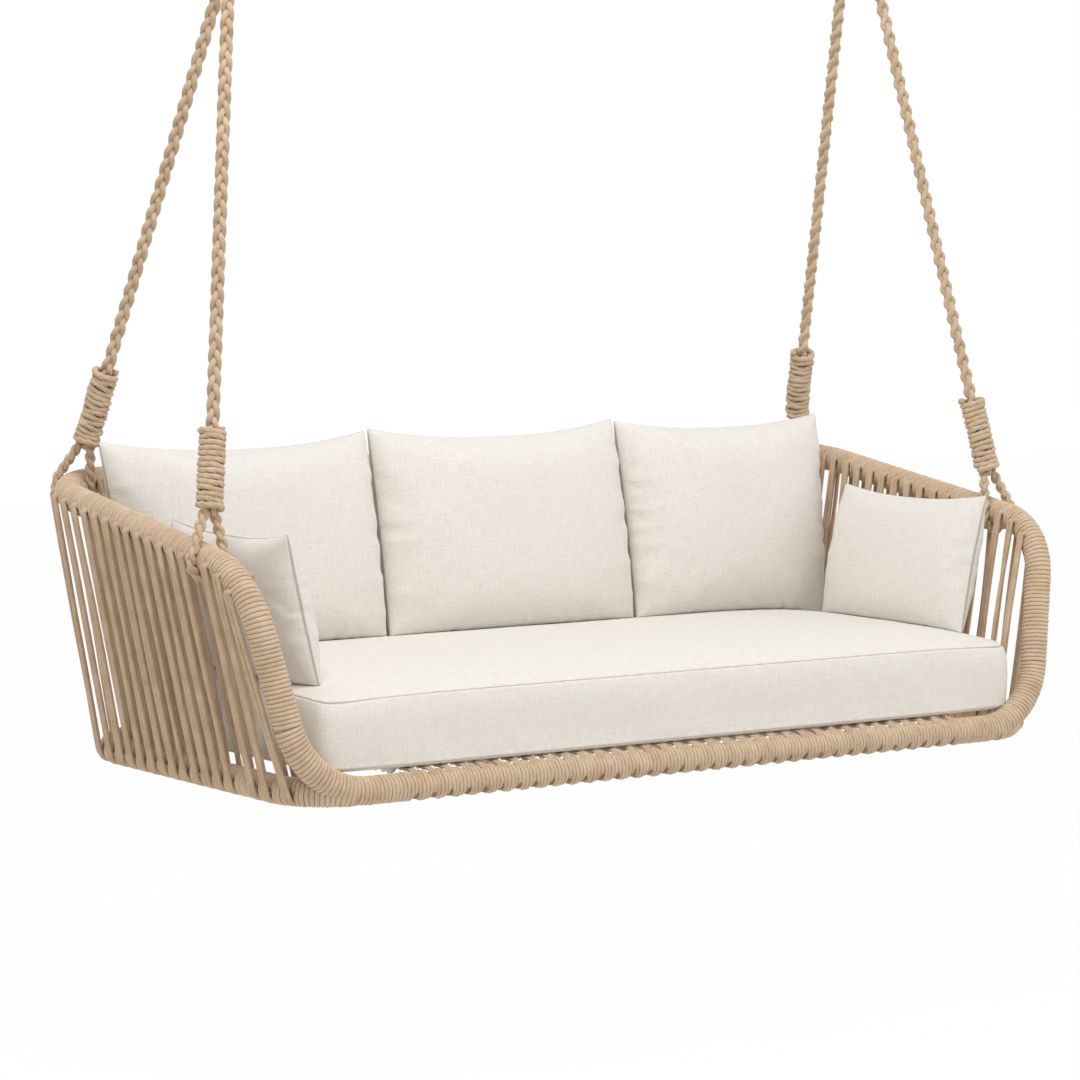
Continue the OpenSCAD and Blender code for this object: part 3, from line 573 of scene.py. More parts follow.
for layer, word in ((1, "outer"), (-1, "inner")):
    for left, side in ((True, "left"), (False, "right")):
        strand_piece(f"side_strands_{word}_{side}", [(side_places[layer, side], layer, left)])
    right_half = back_places[layer]
    left_half = right_half[np.abs(right_half - upper_length) >= 1e-6]
    strand_piece(f"back_strands_{word}", [(right_half, layer, False), (left_half, layer, True)])

# %% [markdown]
# Under the seat cushion, bundles of three thinner cords lie over three bearer tubes, from the front rail to
# the base's back rail. They bend over both rails and dive under the winding in front and behind.

# %% Deck cords
DEPTH = BASE_MIDDLE[1]
DECK_MARGIN, DECK_RUN = 0.015, 15
deck_half = FRONT_CORNER[0] - max(FOOT_BEND, BASE_BEND) - DECK_MARGIN
count = int(deck_half // deck_pitch)
x = np.arange(-count, count + 1) * deck_pitch
w = np.linspace(1, 0, ARC + 2)[:-1]
r = STRAND_OFF - DIVE_DEPTH * w ** 1.6
front_arc = np.stack([0 * w, -r * np.sin(w * DIVE), r * np.cos(w * DIVE)], axis=-1)
back_arc = (front_arc * [1, -1, 1])[::-1] + [0, DEPTH, 0]
run = np.stack([np.zeros(DECK_RUN), np.linspace(0, DEPTH, DECK_RUN), np.full(DECK_RUN, STRAND_OFF)], axis=-1)
lines = np.concatenate([front_arc, run, back_arc])[None] + x[:, None, None] * [1, 0, 0] + BASKET
across, outward = np.tile([1.0, 0, 0], (len(x), 1)), np.tile([0, 0, 1.0], (len(x), 1))
cords = bundle(lines, across, outward, rng, (-1, 0, 1), THIN_PITCH)
mesh = tubes_to_mesh("deck_cords_strung", swept(cords, [1.0, 0.1, 0.05], THIN_CORD_D / 2, 7), run_of(cords),
                     THIN_CORD_D * np.pi)
deck = settle(mesh, "sofa", ["deck_cords"], strand_finish)
print(deck.name, len(cords), "cords,", triangles(deck), "triangles")

# %% [markdown]
# ## Winding
# One layer of the same cord is wound tightly round every tube. A smooth tube with a striped bump would lose
# its outline, which shows each turn as a small step. So the turns are real: the rows of the grid follow the
# helix, and eight rows a turn give a round cord with a sharp groove beside it. Where a strand leaves the
# rail, the turns part round it in a notch that narrows upward, which gives the rail its scalloped lower
# edge.

# %% Winding surface
TURN, GROOVE = 0.0088, 0.0030
ROUND = 34
PHASES = np.array([0.0, 0.045, 0.15, 0.32, 0.5, 0.68, 0.85, 0.955])
HEIGHTS = np.sqrt(np.clip(1 - (2 * PHASES - 1) ** 2, 0, 1))
ROWS = len(PHASES)
NOTCH_HALF, NOTCH_WINDOW, PUSH = 0.0098, 0.036, 0.0022
FROM_BELOW, FADE_IN, FADE_OUT = 42, 30, 22


def winding_points(line, lead, notches, swell=0.0008):
    """Points of a wound rail [row, side, xyz], their places along it, and how high each stands on its turn.

    Row j lies at turn j // ROWS plus its phase, and side i takes it i / ROUND of a turn further, so the rows
    climb as the cord does. The radius is the winding's, less the groove's depth times (1 - height), less the
    notches.
    A notch is (place, direction of the strand, direction up the rail, depth, reach up in degrees). It spans
    the round from FROM_BELOW under the strand to its reach above, fades out at both ends and narrows upward.
    The turns beside it are pushed apart, and the rail is a little fuller midway between two notches.
    In a notch the height is marked low, so that the cord material paints shade there.
    """
    length = run_of(line)[-1]
    turns = int(round(length / TURN))
    j, i = np.arange(ROWS * (turns + 2) + 1)[:, None], np.arange(ROUND)[None, :]
    raw = length / turns * (j // ROWS + PHASES[j % ROWS] - 1 + i / ROUND)
    s = np.clip(raw, 0, length)
    height = np.where((raw > 0) & (raw < length), HEIGHTS[j % ROWS], 0.0)
    unevenness = 0.00035 * np.sin(2.399 * (j // ROWS)) + 0.0002 * np.sin(5.1 * (j // ROWS) + 0.19 * i)
    centre, t = at(line, s), heading(line, s)
    a = unit(np.array(lead) - (t * np.array(lead)).sum(-1, keepdims=True) * t)
    w = 2 * np.pi * i[..., None] / ROUND
    spoke = a * np.cos(w) + np.cross(t, a) * np.sin(w)
    r = WOUND_R - GROOVE * (1 - height) + unevenness
    push, unshaded = np.zeros_like(r), height.copy()
    for place, strand, rise, depth, reach in notches:
        rows = np.flatnonzero(np.abs(raw[:, 0] - place) < NOTCH_WINDOW)
        e = spoke[rows]
        up = np.degrees(np.arctan2(e @ rise, e @ strand))
        away = s[rows] - place
        narrow = np.clip(1 - up / reach, 0.02, 1.25)
        inside = np.clip(1.3 - np.abs(away) / (NOTCH_HALF * narrow), 0, 1)
        span = np.clip((up + FROM_BELOW) / FADE_IN, 0, 1) * np.clip((reach - up) / FADE_OUT, 0, 1)
        soft = inside ** 2 * (3 - 2 * inside) * span
        wide = np.clip(1 - np.abs(away) / (STRAND_PITCH / 2), 0, 1) ** 2 * span
        r[rows] -= depth * soft + 2 * swell * wide - swell * span * (np.abs(away) < STRAND_PITCH / 2)
        push[rows] += PUSH * np.tanh(away / 0.002) * np.exp(-(away / 0.010) ** 2) * span
        # Painted shade: a notch's points are marked low, and the cord material colours them dark.
        unshaded[rows] *= 1 - 0.85 * soft
    return centre + r[..., None] * spoke + push[..., None] * t, raw, unshaded


def winding_mesh(name, grid, raw, unshaded, left):
    """A closed mesh of a wound rail. Side ROUND of a row is side 0 of the row one turn on."""
    rows = grid.shape[0]
    j, i = np.meshgrid(np.arange(rows - ROWS - 1), np.arange(ROUND), indexing="ij")
    number = j * ROUND + i
    beside = np.where(i == ROUND - 1, (j + ROWS) * ROUND, number + 1)
    quad = np.stack([number, beside, beside + ROUND, number + ROUND], axis=-1).reshape(-1, 4)
    u0, u1 = (k / ROUND * 2 * np.pi * WOUND_R for k in (i, i + 1))
    v0, v1 = raw[j, 0], raw[j + 1, 0]
    uv = np.stack([u0, v0, u1, v0, u1, v1, u0, v1], axis=-1).reshape(-1, 4, 2)
    if left:
        grid, quad, uv = grid * [-1, 1, 1], quad[:, ::-1], uv[:, ::-1]
    mesh = faces_to_mesh(name, grid.reshape(-1, 3), quad.tolist(), uv)
    # This attribute is low in grooves and notches, where the cord material paints shade.
    layer = mesh.attributes.new("unshaded", "FLOAT", "POINT")
    layer.data.foreach_set("value", unshaded.ravel().astype(np.float32))
    work = bmesh.new()
    work.from_mesh(mesh)
    bmesh.ops.delete(work, geom=[v for v in work.verts if not v.link_faces], context="VERTS")
    bmesh.ops.remove_doubles(work, verts=work.verts, dist=2e-6)
    bmesh.ops.holes_fill(work, edges=[e for e in work.edges if e.is_boundary], sides=0)
    work.to_mesh(mesh)
    work.free()
    mesh.polygons.foreach_set("use_smooth", np.ones(len(mesh.polygons), bool))
    return mesh


def wound(name, points, left=False):
    """Puts a winding in the scene from its points, turned over to the left side if asked."""
    grid, raw, unshaded = points
    mesh = winding_mesh(name + "_turns", grid + BASKET, raw, unshaded, left)
    piece = settle(mesh, "sofa", [name], winding_finish)
    print(piece.name, triangles(piece), "triangles")


# %% [markdown]
# The frame was welded from separate bends and runs, and each is wound by itself, so the windings end where
# their solids do. Notches are worked out from the strands' own directions, and those of the inner layer
# come from inside.

# %% Notches and rails
UPPER_LEAD = np.array([-0.5, -0.4, 0.75])


def cut(line, start, end):
    """The part of a line between two distances from its start."""
    runs = run_of(line)
    inner = line[(runs > start + 1e-6) & (runs < end - 1e-6)]
    return np.concatenate([at(line, np.array([start])), inner, at(line, np.array([end]))])


def notches_for(places, layer, start, end, low=False, depth=0.0042, reach=24):
    """Notches of one layer's strands between two places of the upper rail, or of the lower one under them."""
    rail, other = (lower, upper) if low else (upper, lower)
    s, t = (lower_place(places), places) if low else (places, lower_place(places))
    inside = (s > start) & (s < end)
    s, t = s[inside], t[inside]
    p, q, ahead = at(rail, s), at(other, t), heading(rail, s)
    d = unit(q - p) * (-1 if low else 1)
    out = unit(np.cross(d, ahead)) * layer
    back = d if low else -d
    rise = unit(back - (back * ahead).sum(-1, keepdims=True) * ahead)
    return [(a - start, b, c, depth, reach) for a, b, c in zip(s, out, rise)]


def end_rail(name, line, start, **facts):
    """The straight winding of a rail's back run, from the bend that ends at start to the one on the left.

    Its right half's notches come from the strands, and the left half's are the same turned over.
    """
    end = at(line, np.array([start]))[0]
    half = run_of(line)[-1] - start
    right = []
    for layer in (1, -1):
        right += notches_for(back_places[layer], layer, start, run_of(line)[-1], **facts)
    left = [(2 * half - p, a * [-1, 1, 1], b * [-1, 1, 1], *c)
            for p, a, b, *c in right if abs(p - half) > 1e-6]
    wound(name, winding_points(np.array([end, end * [-1, 1, 1]]), [0, 0, 1], right + left))


for left, side in ((True, "left"), (False, "right")):
    arm_notches = []
    for layer in (1, -1):
        everywhere = np.concatenate([side_places[layer, side], back_places[layer]])
        arm_notches += notches_for(everywhere, layer, foot_setback, corner_end)
    points = winding_points(cut(upper, foot_setback, corner_end), UPPER_LEAD, arm_notches)
    wound(f"arm_winding_{side}", points, left)
    print(side, "arm winding has", len(arm_notches), "notches")

# %% [markdown]
# The back rail is straight, and its left half carries the same notches as its right. The front rail with
# its two foot bends is one winding, where the deck cords dive in behind the top and leave a row of slits
# low on its front.

# %% Back rail and front rail
end_rail("back_rail_winding", upper, corner_end)

front_line = np.concatenate([(foot * [-1, 1, 1])[::-1], foot[1:]])
front_line = cut(front_line, post - foot_setback, run_of(front_line)[-1] - (post - foot_setback))
front_length = run_of(front_line)[-1]
front_notches = []
for k in range(-count, count + 1):
    place = front_length / 2 + k * deck_pitch
    front_notches.append((place, np.array([0, -0.35, -0.94]), np.array([0, -0.94, 0.35]), 0.0034, 60))
    front_notches.append((place, np.array([0, 0.2, 0.98]), np.array([0, -0.98, 0.2]), 0.0036, 60))
wound("front_rail_winding", winding_points(front_line, [0, -1, 0], front_notches))

# %% [markdown]
# Each base side rail runs on round its front bend until it lies in the front rail, where the welder joined
# them. Its winding goes on into the other one, so that no bare end shows under the foot of the post.

# %% Base rails
MEETING = 0.08
side_begin = FRONT_CORNER[0] - BASE_FRONT_BEND + MEETING * BASE_FRONT_BEND * np.pi / 2
for left, side in ((True, "left"), (False, "right")):
    base_notches = []
    for layer in (1, -1):
        everywhere = np.concatenate([side_places[layer, side], back_places[layer]])
        base_notches += notches_for(everywhere, layer, side_begin, base_end, low=True, depth=0.0046, reach=60)
    points = winding_points(cut(lower, side_begin, base_end), [0, 0, 1], base_notches, swell=0.0016)
    wound(f"base_winding_{side}", points, left)
end_rail("base_back_winding", lower, base_end, low=True, depth=0.0036, reach=60)

# %% [markdown]
# ## Ropes
# Each main rope is a three-strand plait. In a plait every strand goes from side to side once, and from
# front to back twice, in the same length, which is two sines across the rope's line. The three strands
# share that path, a third of it apart. A strand is itself several yarns laid together, so its profile has
# five soft lobes that wind slowly.

# %% Rope lines
HANG = np.array([1.594 / 2, 0.465, 2.0])
PIN_DROP, LINK_LENGTH, LINK_EYE, SPLICE_OUT = 0.042, 0.060, 0.017, 0.018
FORK_RISE, WHIPPING_LENGTH, WHIPPING_START, WHIPPING_TURNS = 0.096, 0.160, 0.0065, 14
ROPE_R, SPLICE_R, SPLICE_RING_R, SPLICE_LENGTH = 0.014, 0.011, 0.022, 0.058
RING_R, WIRE_R, GAP = 0.050, 0.006, 0.0003
ROPE_LEAD = [0.75, 0.5, 0.43]
ROPE_LOOK, LEG_LOOK = (0.0079, 0.0066, 0.0064, 0.102), (0.0062, 0.0050, 0.0056, 0.072)
EYE_LOOK, THROAT_LOOK = (0.0055, 0.0045, 0.0050, 0.069), (0.0056, 0.0046, 0.0050, 0.070)
ring_z = HANG[2] - PIN_DROP - LINK_LENGTH - (LINK_EYE - 2 * WIRE_R - GAP) - RING_R
splice_turn = np.arcsin(SPLICE_OUT / RING_R)


def rope_places(end):
    """The eye splice's middle, the rope's top, its fork, its seat on the rail, and the rail's direction."""
    sign = 1 if end == "front" else -1
    throw = RING_R + SPLICE_RING_R - SPLICE_R - WIRE_R - GAP
    aside = np.array([sign * np.sin(splice_turn), 0, -np.cos(splice_turn)])
    eye = np.array([HANG[0], HANG[1], ring_z]) + throw * aside
    run = np.array([ROPE_RUNS[end]])
    seat = at(upper, run)[0]
    d = unit(eye - seat)
    top = eye - d * (SPLICE_RING_R + SPLICE_LENGTH)
    ahead = heading(upper, run)[0]
    return SimpleNamespace(eye=eye, top=top, fork=seat + d * FORK_RISE, seat=seat, ahead=ahead)


def plait(line, lead, look, start=0.0, sides=15, lobes=5):
    """Strand k of three goes wide sin p across the line and deep sin 2p out, p = 2 pi (s / lay + k / 3)."""
    wide, deep, strand_r, lay = look
    s = run_of(line)
    a, b = cross_axes(line, lead)
    p = 2 * np.pi * (s / lay + start + np.arange(3)[:, None] / 3)
    paths = line + wide * np.sin(p)[..., None] * a + deep * np.sin(2 * p)[..., None] * b
    w = np.arange(sides) * 2 * np.pi / sides
    wind = lobes * (w[None, None, :] + s[None, :, None] / lay * 2.2)
    return swept(paths, lead, strand_r * (0.96 + 0.045 * np.cos(wind)), sides), run_of(paths)


def dense(points, step):
    """A line with points at even steps."""
    length = run_of(points)[-1]
    return at(points, np.linspace(0, length, max(2, int(length / step))))


def rope_piece(name, side, grid, runs, around, nodes):
    """Puts a rope piece in the scene from its grid on the right, turned over if its side is the left."""
    shape = mirrored(grid) if side == "left" else grid
    piece = settle(tubes_to_mesh(name, shape, runs, around), "sofa", nodes, rope_finish)
    print(piece.name, triangles(piece), "triangles")
    return piece


PLACES = {end: rope_places(end) for end in ("front", "back")}
PLAIT_STARTS = {"front_left": 0.10, "front_right": 0.42, "back_left": 0.77, "back_right": 0.25}
for spot, start in PLAIT_STARTS.items():
    end, side = spot.split("_")
    top, fork = PLACES[end].top, PLACES[end].fork
    d = unit(top - fork)
    line = dense(np.array([fork - d * 0.008, top + d * 0.006]), 0.0042) + BASKET
    grid, runs = plait(line, ROPE_LEAD, ROPE_LOOK, start)
    rope = rope_piece(f"rope_{spot}_plait", side, grid, runs, 0.04, [f"rope_{spot}"])
    if side == "left":
        line = line * [-1, 1, 1]

# %% [markdown]
# ## Whippings
# A thick three-strand cord is wound fourteen times round the foot of each rope and hides where it forks.
# Its first and last turns are pulled up last and stand a little proud. The cord's own lay shows as slanting
# lines on every turn, so its profile has three deep lobes that wind round as it goes.

# %% Whippings
LAP_STEPS, CORD_LAY, CORD_R, PROUD, UNEVEN = 46, 0.019, 0.0062, 0.0008, 0.0007
OUT, END_TURN, WHIPPING_SIDES = 0.0078, 0.9, 15


def whipping_line(end):
    """A helix: radius r, one pitch up for each turn, with r a little larger on the first and last turns.

    Its foot and each point's share in an end turn come with it. A few sines of random height ease the radius
    and the rise, so that no two turns lie quite alike.
    """
    top, fork = PLACES[end].top, PLACES[end].fork
    d = unit(top - fork)
    a = unit(np.cross(d, [0, 1, 0]))
    b = np.cross(d, a)
    t = np.linspace(0, WHIPPING_TURNS, WHIPPING_TURNS * LAP_STEPS)
    edge = np.exp(-(t / END_TURN) ** 4) + np.exp(-((WHIPPING_TURNS - t) / END_TURN) ** 4)
    rng = np.random.default_rng(len(end))
    ease = sum(rng.normal(0, UNEVEN) * np.sin(2 * np.pi * k * t / WHIPPING_TURNS + rng.uniform(0, 6))
               for k in range(9, 40, 3))
    r = ROPE_R + GAP + OUT + 2 * PROUD * edge + 0.5 * ease
    rise = WHIPPING_LENGTH / WHIPPING_TURNS * t + 0.9 * ease
    w = 2 * np.pi * t
    line = fork + d * (WHIPPING_START + rise[:, None])
    line = line + a * (r * np.cos(w))[:, None] + b * (r * np.sin(w))[:, None]
    return line, fork + d * WHIPPING_START, edge


for end in ("front", "back"):
    line, foot_point, edge = whipping_line(end)
    line = line + BASKET
    s = run_of(line)
    w = np.arange(WHIPPING_SIDES) * 2 * np.pi / WHIPPING_SIDES
    lobe = np.abs(np.cos(1.5 * (w[None, :] + s[:, None] / CORD_LAY * 2 * np.pi / 3)))
    radius = (CORD_R + PROUD * edge[:, None]) * (0.70 + 0.34 * lobe)
    grid = swept(line[None], line - (foot_point + BASKET), radius[None], WHIPPING_SIDES)
    for side in ("left", "right"):
        rope_piece(f"whipping_{end}_{side}_turns", side, grid, s[None], 0.034, [f"whipping_{end}_{side}"])
    print("the whipping's cord is", s[-1].round(2), "m long")

# %% [markdown]
# ## Legs
# Below the whipping the rope parts into two thinner plaits that join again under the arm rail. They are one
# loop: down one leg, round the underside of the winding, and up the other leg.

# %% Loops round the arm rails
LEG_R, SETTLED = 0.0105, 0.0004


def loop_line(end):
    """From the fork to a tangent point beside the rail, round its underside, and up to the fork again."""
    spot = PLACES[end]
    fork, seat, ahead = spot.fork, spot.seat, spot.ahead
    z = unit((fork - seat) - ((fork - seat) @ ahead) * ahead)
    x = np.cross(ahead, z)
    radius = WOUND_R + LEG_R - SETTLED
    rise = (fork - seat) @ z
    half = LEG_R + GAP
    w = np.arctan2(rise, half) - np.arccos(radius / np.hypot(half, rise))
    turn = np.linspace(w, -np.pi - w, 40)[:, None]
    round_rail = seat + radius * (x * np.cos(turn) + z * np.sin(turn))
    lift = unit(spot.top - fork) * 0.012
    first = [fork + x * half * 0.8 + lift, fork + x * half]
    last = [fork - x * half, fork - x * half * 0.8 + lift]
    return dense(np.concatenate([first, round_rail, last]), 0.0028) + BASKET, ahead


for end in ("front", "back"):
    line, ahead = loop_line(end)
    for _ in range(3):
        line[1:-1] = (line[:-2] + 2 * line[1:-1] + line[2:]) / 4
    grid, runs = plait(line, ahead, LEG_LOOK, 0.2, sides=12, lobes=3)
    for side in ("left", "right"):
        rope_piece(f"rope_loop_{end}_{side}_plait", side, grid, runs, 0.027, [f"rope_loop_{end}_{side}"])
    print("the loop is", run_of(line)[-1].round(3), "m long")

# %% [markdown]
# ## Eye splices
# Above the picture each rope ends in an eye round the steel ring. The rope's strands are tucked back into
# it, and thin twine is served over the tucks, so the eye is a small plait and the throat below it is
# covered with fine turns.

# %% Eyes and their serving
SERVING_TURNS, SERVING_PITCH, SERVING_START = 12, 0.0029, 0.047
for end, sign in (("front", 1), ("back", -1)):
    eye = PLACES[end].eye
    d = unit(eye - PLACES[end].seat)
    axis = np.array([np.cos(splice_turn), 0, sign * np.sin(splice_turn)])
    low = unit(-d - (-d @ axis) * axis)
    over = np.cross(axis, low)
    w = np.linspace(np.radians(4), np.radians(356), 90)[:, None]
    ring = eye + SPLICE_RING_R * (low * np.cos(w) + over * np.sin(w)) + BASKET
    ring_grid, ring_runs = plait(ring, axis, EYE_LOOK, sides=12, lobes=3)
    throat = np.array([eye - d * (SPLICE_RING_R - 0.002), eye - d * (SPLICE_RING_R + SPLICE_LENGTH)])
    throat = dense(throat, 0.003) + BASKET
    throat_grid, throat_runs = plait(throat, ROPE_LEAD, THROAT_LOOK, 0.1, sides=12, lobes=3)
    t = np.linspace(0, SERVING_TURNS, SERVING_TURNS * 24)
    a = unit(np.cross(d, [0, 1, 0]))
    b = np.cross(d, a)
    base = eye - d * (SPLICE_RING_R + SERVING_START)
    turned = (SPLICE_R + 0.0006) * (a * np.cos(2 * np.pi * t)[:, None] + b * np.sin(2 * np.pi * t)[:, None])
    twine = base + d * (t * SERVING_PITCH)[:, None] + turned + BASKET
    twine_grid = swept(twine[None], twine - base - BASKET, 0.0015, 7)
    for side in ("left", "right"):
        spot = f"{end}_{side}"
        rope_piece("rope_eye_plait_" + spot, side, ring_grid, ring_runs, 0.03, ["rope_eye_" + spot])
        rope_piece("rope_eye_throat_" + spot, side, throat_grid, throat_runs, 0.03, [])
        rope_piece("rope_eye_serving_" + spot, side, twine_grid, run_of(twine)[None], 0.009, [])
print("eyes on rings at", np.round(ring_z + BASKET[2], 3), "m")

# %% [markdown]
# ## Metal and plastic
# The hangers are bright zinc-plated steel: a soft, slightly streaky shine with a faint grain from drawing
# and bending. The frame's tubes are mill-finish aluminium, seen only from below between the turns. The bush
# is natural acetal.

# %% Metal and plastic finishes


def metal(name, dark, light, rough, grain):
    """A metal with cloudy roughness and fine scratches grain metres apart, drawn out along Z."""
    material = bpy.data.materials.new(name)
    tree = empty_tree(material)
    place = add(tree, "TexCoord", {}, "Object")
    scratch = noise(tree, stretched(tree, place, (1 / grain, 1 / grain, 0.08 / grain)), 1.0, 2.0)
    cloud = noise(tree, place, 60.0, 3.0)
    tint = ramp(tree, cloud, [(0.3, dark), (0.7, light)])
    matt = add(tree, "MapRange", {"To Min": rough - 0.07, "To Max": rough + 0.1, "Value": cloud})
    bump = add(tree, "Bump", {"Strength": 0.25, "Distance": 0.0001, "Height": scratch})
    facts = {"Metallic": 1.0, "Base Color": tint, "Roughness": matt, "Normal": bump}
    show(tree, add(tree, "BsdfPrincipled", facts))
    return material


zinc = metal("zinc_plated_steel", "B4B5B4", "D2D3D2", 0.34, 0.0006)
aluminium = metal("mill_finish_aluminium", "B9B7B2", "D0CECA", 0.42, 0.0008)

acetal = bpy.data.materials.new("natural_acetal_bush")
tree = empty_tree(acetal)
grain = noise(tree, add(tree, "TexCoord", {}, "Object"), 900.0, 1.0)
tint = ramp(tree, grain, [(0.3, "E4DFD2"), (0.7, "EEEADF")])
bump = add(tree, "Bump", {"Strength": 0.2, "Distance": 0.0001, "Height": grain})
show(tree, add(tree, "BsdfPrincipled", {"Roughness": 0.45, "IOR": 1.48, "Base Color": tint, "Normal": bump}))

both_sides = {zinc: ("hanger_plate", "hinge_pin", "swing_link", "rope_ring"), acetal: ("hinge_bush",),
              aluminium: ("arm_tube", "base_tube", "deck_bearer")}
painted = [(f"{node}_{side}", finish) for finish, nodes in both_sides.items() for node in nodes
           for side in ("left", "right")]
painted += [(node, aluminium) for node in ("front_rail_tube", "back_rail_tube", "base_back_tube",
                                           "deck_bearer_centre")]
for node, finish in painted:
    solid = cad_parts[node].data
    solid.materials.clear()
    solid.materials.append(finish)
print("painted", len(painted), "solids of the hangers, the tubes and the bearers")

# %% [markdown]
# ## Linen covers
# The covers are a plain-woven linen blend in natural white. Its threads vary in thickness, so the cloth
# shows short slubs both ways and a soft mottle. The weave itself is 0.8 mm to a thread, finer than a
# picture point, so it is drawn at twice that and kept shallow. It follows each panel's own UV map, which is
# measured in metres of cloth.

# %% Linen material
THREAD = 0.0016
linen = bpy.data.materials.new("linen_blend_plain_weave")
tree = empty_tree(linen)
run = add(tree, "UVMap", {"uv_map": "run"})
threads = [add(tree, "TexWave", {"wave_type": "BANDS", "bands_direction": direction, "Scale": 0.314 / THREAD,
                                 "Distortion": 0.6, "Detail": 1.0, "Vector": run}, "Fac")
           for direction in "XY"]
weave = figure(tree, "MAXIMUM", *threads)
slubs = [noise(tree, stretched(tree, run, scale), 1.0, 2.0, Roughness=0.55)
         for scale in ((1 / 0.0030, 1 / 0.035, 1.0), (1 / 0.035, 1 / 0.0030, 1.0))]
slub = figure(tree, "MULTIPLY_ADD", slubs[0], 0.5, figure(tree, "MULTIPLY", slubs[1], 0.5))
mottle = noise(tree, run, 240.0, 3.0)
both = figure(tree, "MULTIPLY_ADD", mottle, 0.4, figure(tree, "MULTIPLY", slub, 0.6))
tint = ramp(tree, both, [(0.34, "DCD6CD"), (0.5, "E8E4DD"), (0.66, "F1EEE9")])
# Painted shade: A39584 darkens the seam lines, as the shade in the crease where two panels meet.
sewn = add(tree, "Attribute", {"attribute_name": "seam"}, "Fac")
line = add(tree, "MapRange", {"interpolation_type": "SMOOTHSTEP", "From Min": 0.60, "From Max": 0.95,
                              "To Max": 0.75, "Value": sewn})
tint = add(tree, "Mix", {"data_type": "RGBA", "B": colour("A39584"), "Factor": line, "A": tint}, "Result")
bump = add(tree, "Bump", {"Strength": 0.4, "Distance": 0.0004,
                          "Height": figure(tree, "MULTIPLY_ADD", slub, 1.6, weave)})
show(tree, add(tree, "BsdfPrincipled", {"Roughness": 0.92, "Specular IOR Level": 0.15, "Sheen Weight": 0.15,
                                        "Sheen Roughness": 0.6, "Base Color": tint, "Normal": bump}))
print("linen thread drawn at", THREAD * 1000, "mm")

# %% [markdown]
# ## Seat cushion
# The seat is one long box cushion: a top panel with a slight crown, a boxing strip round its side, and a
# bottom panel, joined by two seams. Its outline is a rectangle with rounded corners. The crown is the
# product of one rise from the side edges and one from the ends, so that it falls away at the corners, as
# filled cloth does.

# %% Seat form
SEAT_HALF, SEAT_FRONT, SEAT_DEPTH, SEAT_POWER = 0.890, 0.002, 0.804, 24
SEAT_LOW = STRAND_OFF + BAND_HALF + GAP
BOTTOM_SEAM, TOP_SEAM, CROWN, CORNER_DROP = 0.008, 0.146, 0.040, 0.014
SEAT_MIDDLE = SEAT_FRONT + SEAT_DEPTH / 2
RISE_IN = np.array([0.007, 0.0085, 0.0105, 0.014, 0.02, 0.029, 0.055, 0.083, 0.13, 0.19, 0.26, 0.33, 0.402])
RISE_UP = np.array([0.0, 0.05, 0.09, 0.15, 0.23, 0.32, 0.51, 0.66, 0.81, 0.92, 0.975, 1.0, 1.0])


def corner_drop(across, along):
    """How much lower the seat's top lies towards a corner, from its place in half widths and half depths."""
    return CORNER_DROP * np.abs(across * along) ** 10


def seat_top(x, y):
    """Height of the seat's top over a place in plan.

    It is TOP_SEAM + CROWN rise(in from the end) rise(in from the edge), less a drop of 14 mm at the corners.
    """
    end, edge = SEAT_HALF - np.abs(x), SEAT_DEPTH / 2 - np.abs(y - SEAT_MIDDLE)
    rise = np.interp(end, RISE_IN, RISE_UP) * np.interp(edge, RISE_IN, RISE_UP)
    drop = corner_drop(x / SEAT_HALF, (y - SEAT_MIDDLE) / (SEAT_DEPTH / 2))
    return np.where(np.minimum(end, edge) < 0, 0.0, SEAT_LOW + TOP_SEAM + CROWN * rise - drop)


def power_outline(t):
    """A rectangle with round corners as a turn t: cos t and sin t, each to the power 2 / 24 with its sign."""
    return np.stack([np.sign(c) * np.abs(c) ** (2 / SEAT_POWER) for c in (np.cos(t), np.sin(t))], axis=-1)


COLUMNS = 1000
fine = power_outline(np.linspace(0, 2 * np.pi, 20001))
outline_run = run_of(fine * [SEAT_HALF, SEAT_DEPTH / 2])
girth = outline_run[-1]
even = np.arange(COLUMNS) / COLUMNS * girth
outline = np.stack([np.interp(even, outline_run, fine[:, k]) for k in (0, 1)], axis=-1)
print("seat from", round(SEAT_LOW, 4), "to", round(SEAT_LOW + TOP_SEAM + CROWN, 4), "m above rail's centre")

# %% [markdown]
# Each seam is a groove 1.4 mm deep between two welts where the cloth turns in. Beside it the cloth puckers
# between the stitches, which fades out over 30 mm. The strip between the seams bulges a little and carries
# long soft folds. Behind the front rail the bottom panel hangs down between the deck cords, as it does
# under a filled cushion, and the strip's low front edge comes a few millimetres forward over the rail. The
# grid's rows run from the middle of the bottom out to its seam, up the strip, and in over the top.

# %% Seat cushion rows
FOLD = 0.0070
NEAR = np.array([0.0008, 0.0018, 0.0032, 0.0055, 0.0095, 0.015])
side_z = np.concatenate([[BOTTOM_SEAM], BOTTOM_SEAM + NEAR,
                         np.linspace(BOTTOM_SEAM + 0.023, TOP_SEAM - 0.023, 11),
                         TOP_SEAM - NEAR[::-1], [TOP_SEAM]])
top_in = np.concatenate([NEAR, [0.023], np.linspace(0.034, 0.330, 30),
                         np.linspace(0.345, SEAT_DEPTH / 2 - FOLD, 5)])
bottom_in = np.array([0.402, 0.3, 0.25, 0.2, 0.15, 0.1, 0.07, 0.052, 0.042, 0.034, 0.024, 0.012,
                      0.005, 0.002])
bottom_z = np.array([0.0] * 10 + [0.0005, 0.002, 0.0045, 0.0065])
between = np.clip((side_z - BOTTOM_SEAM) / (TOP_SEAM - BOTTOM_SEAM), 0, 1)
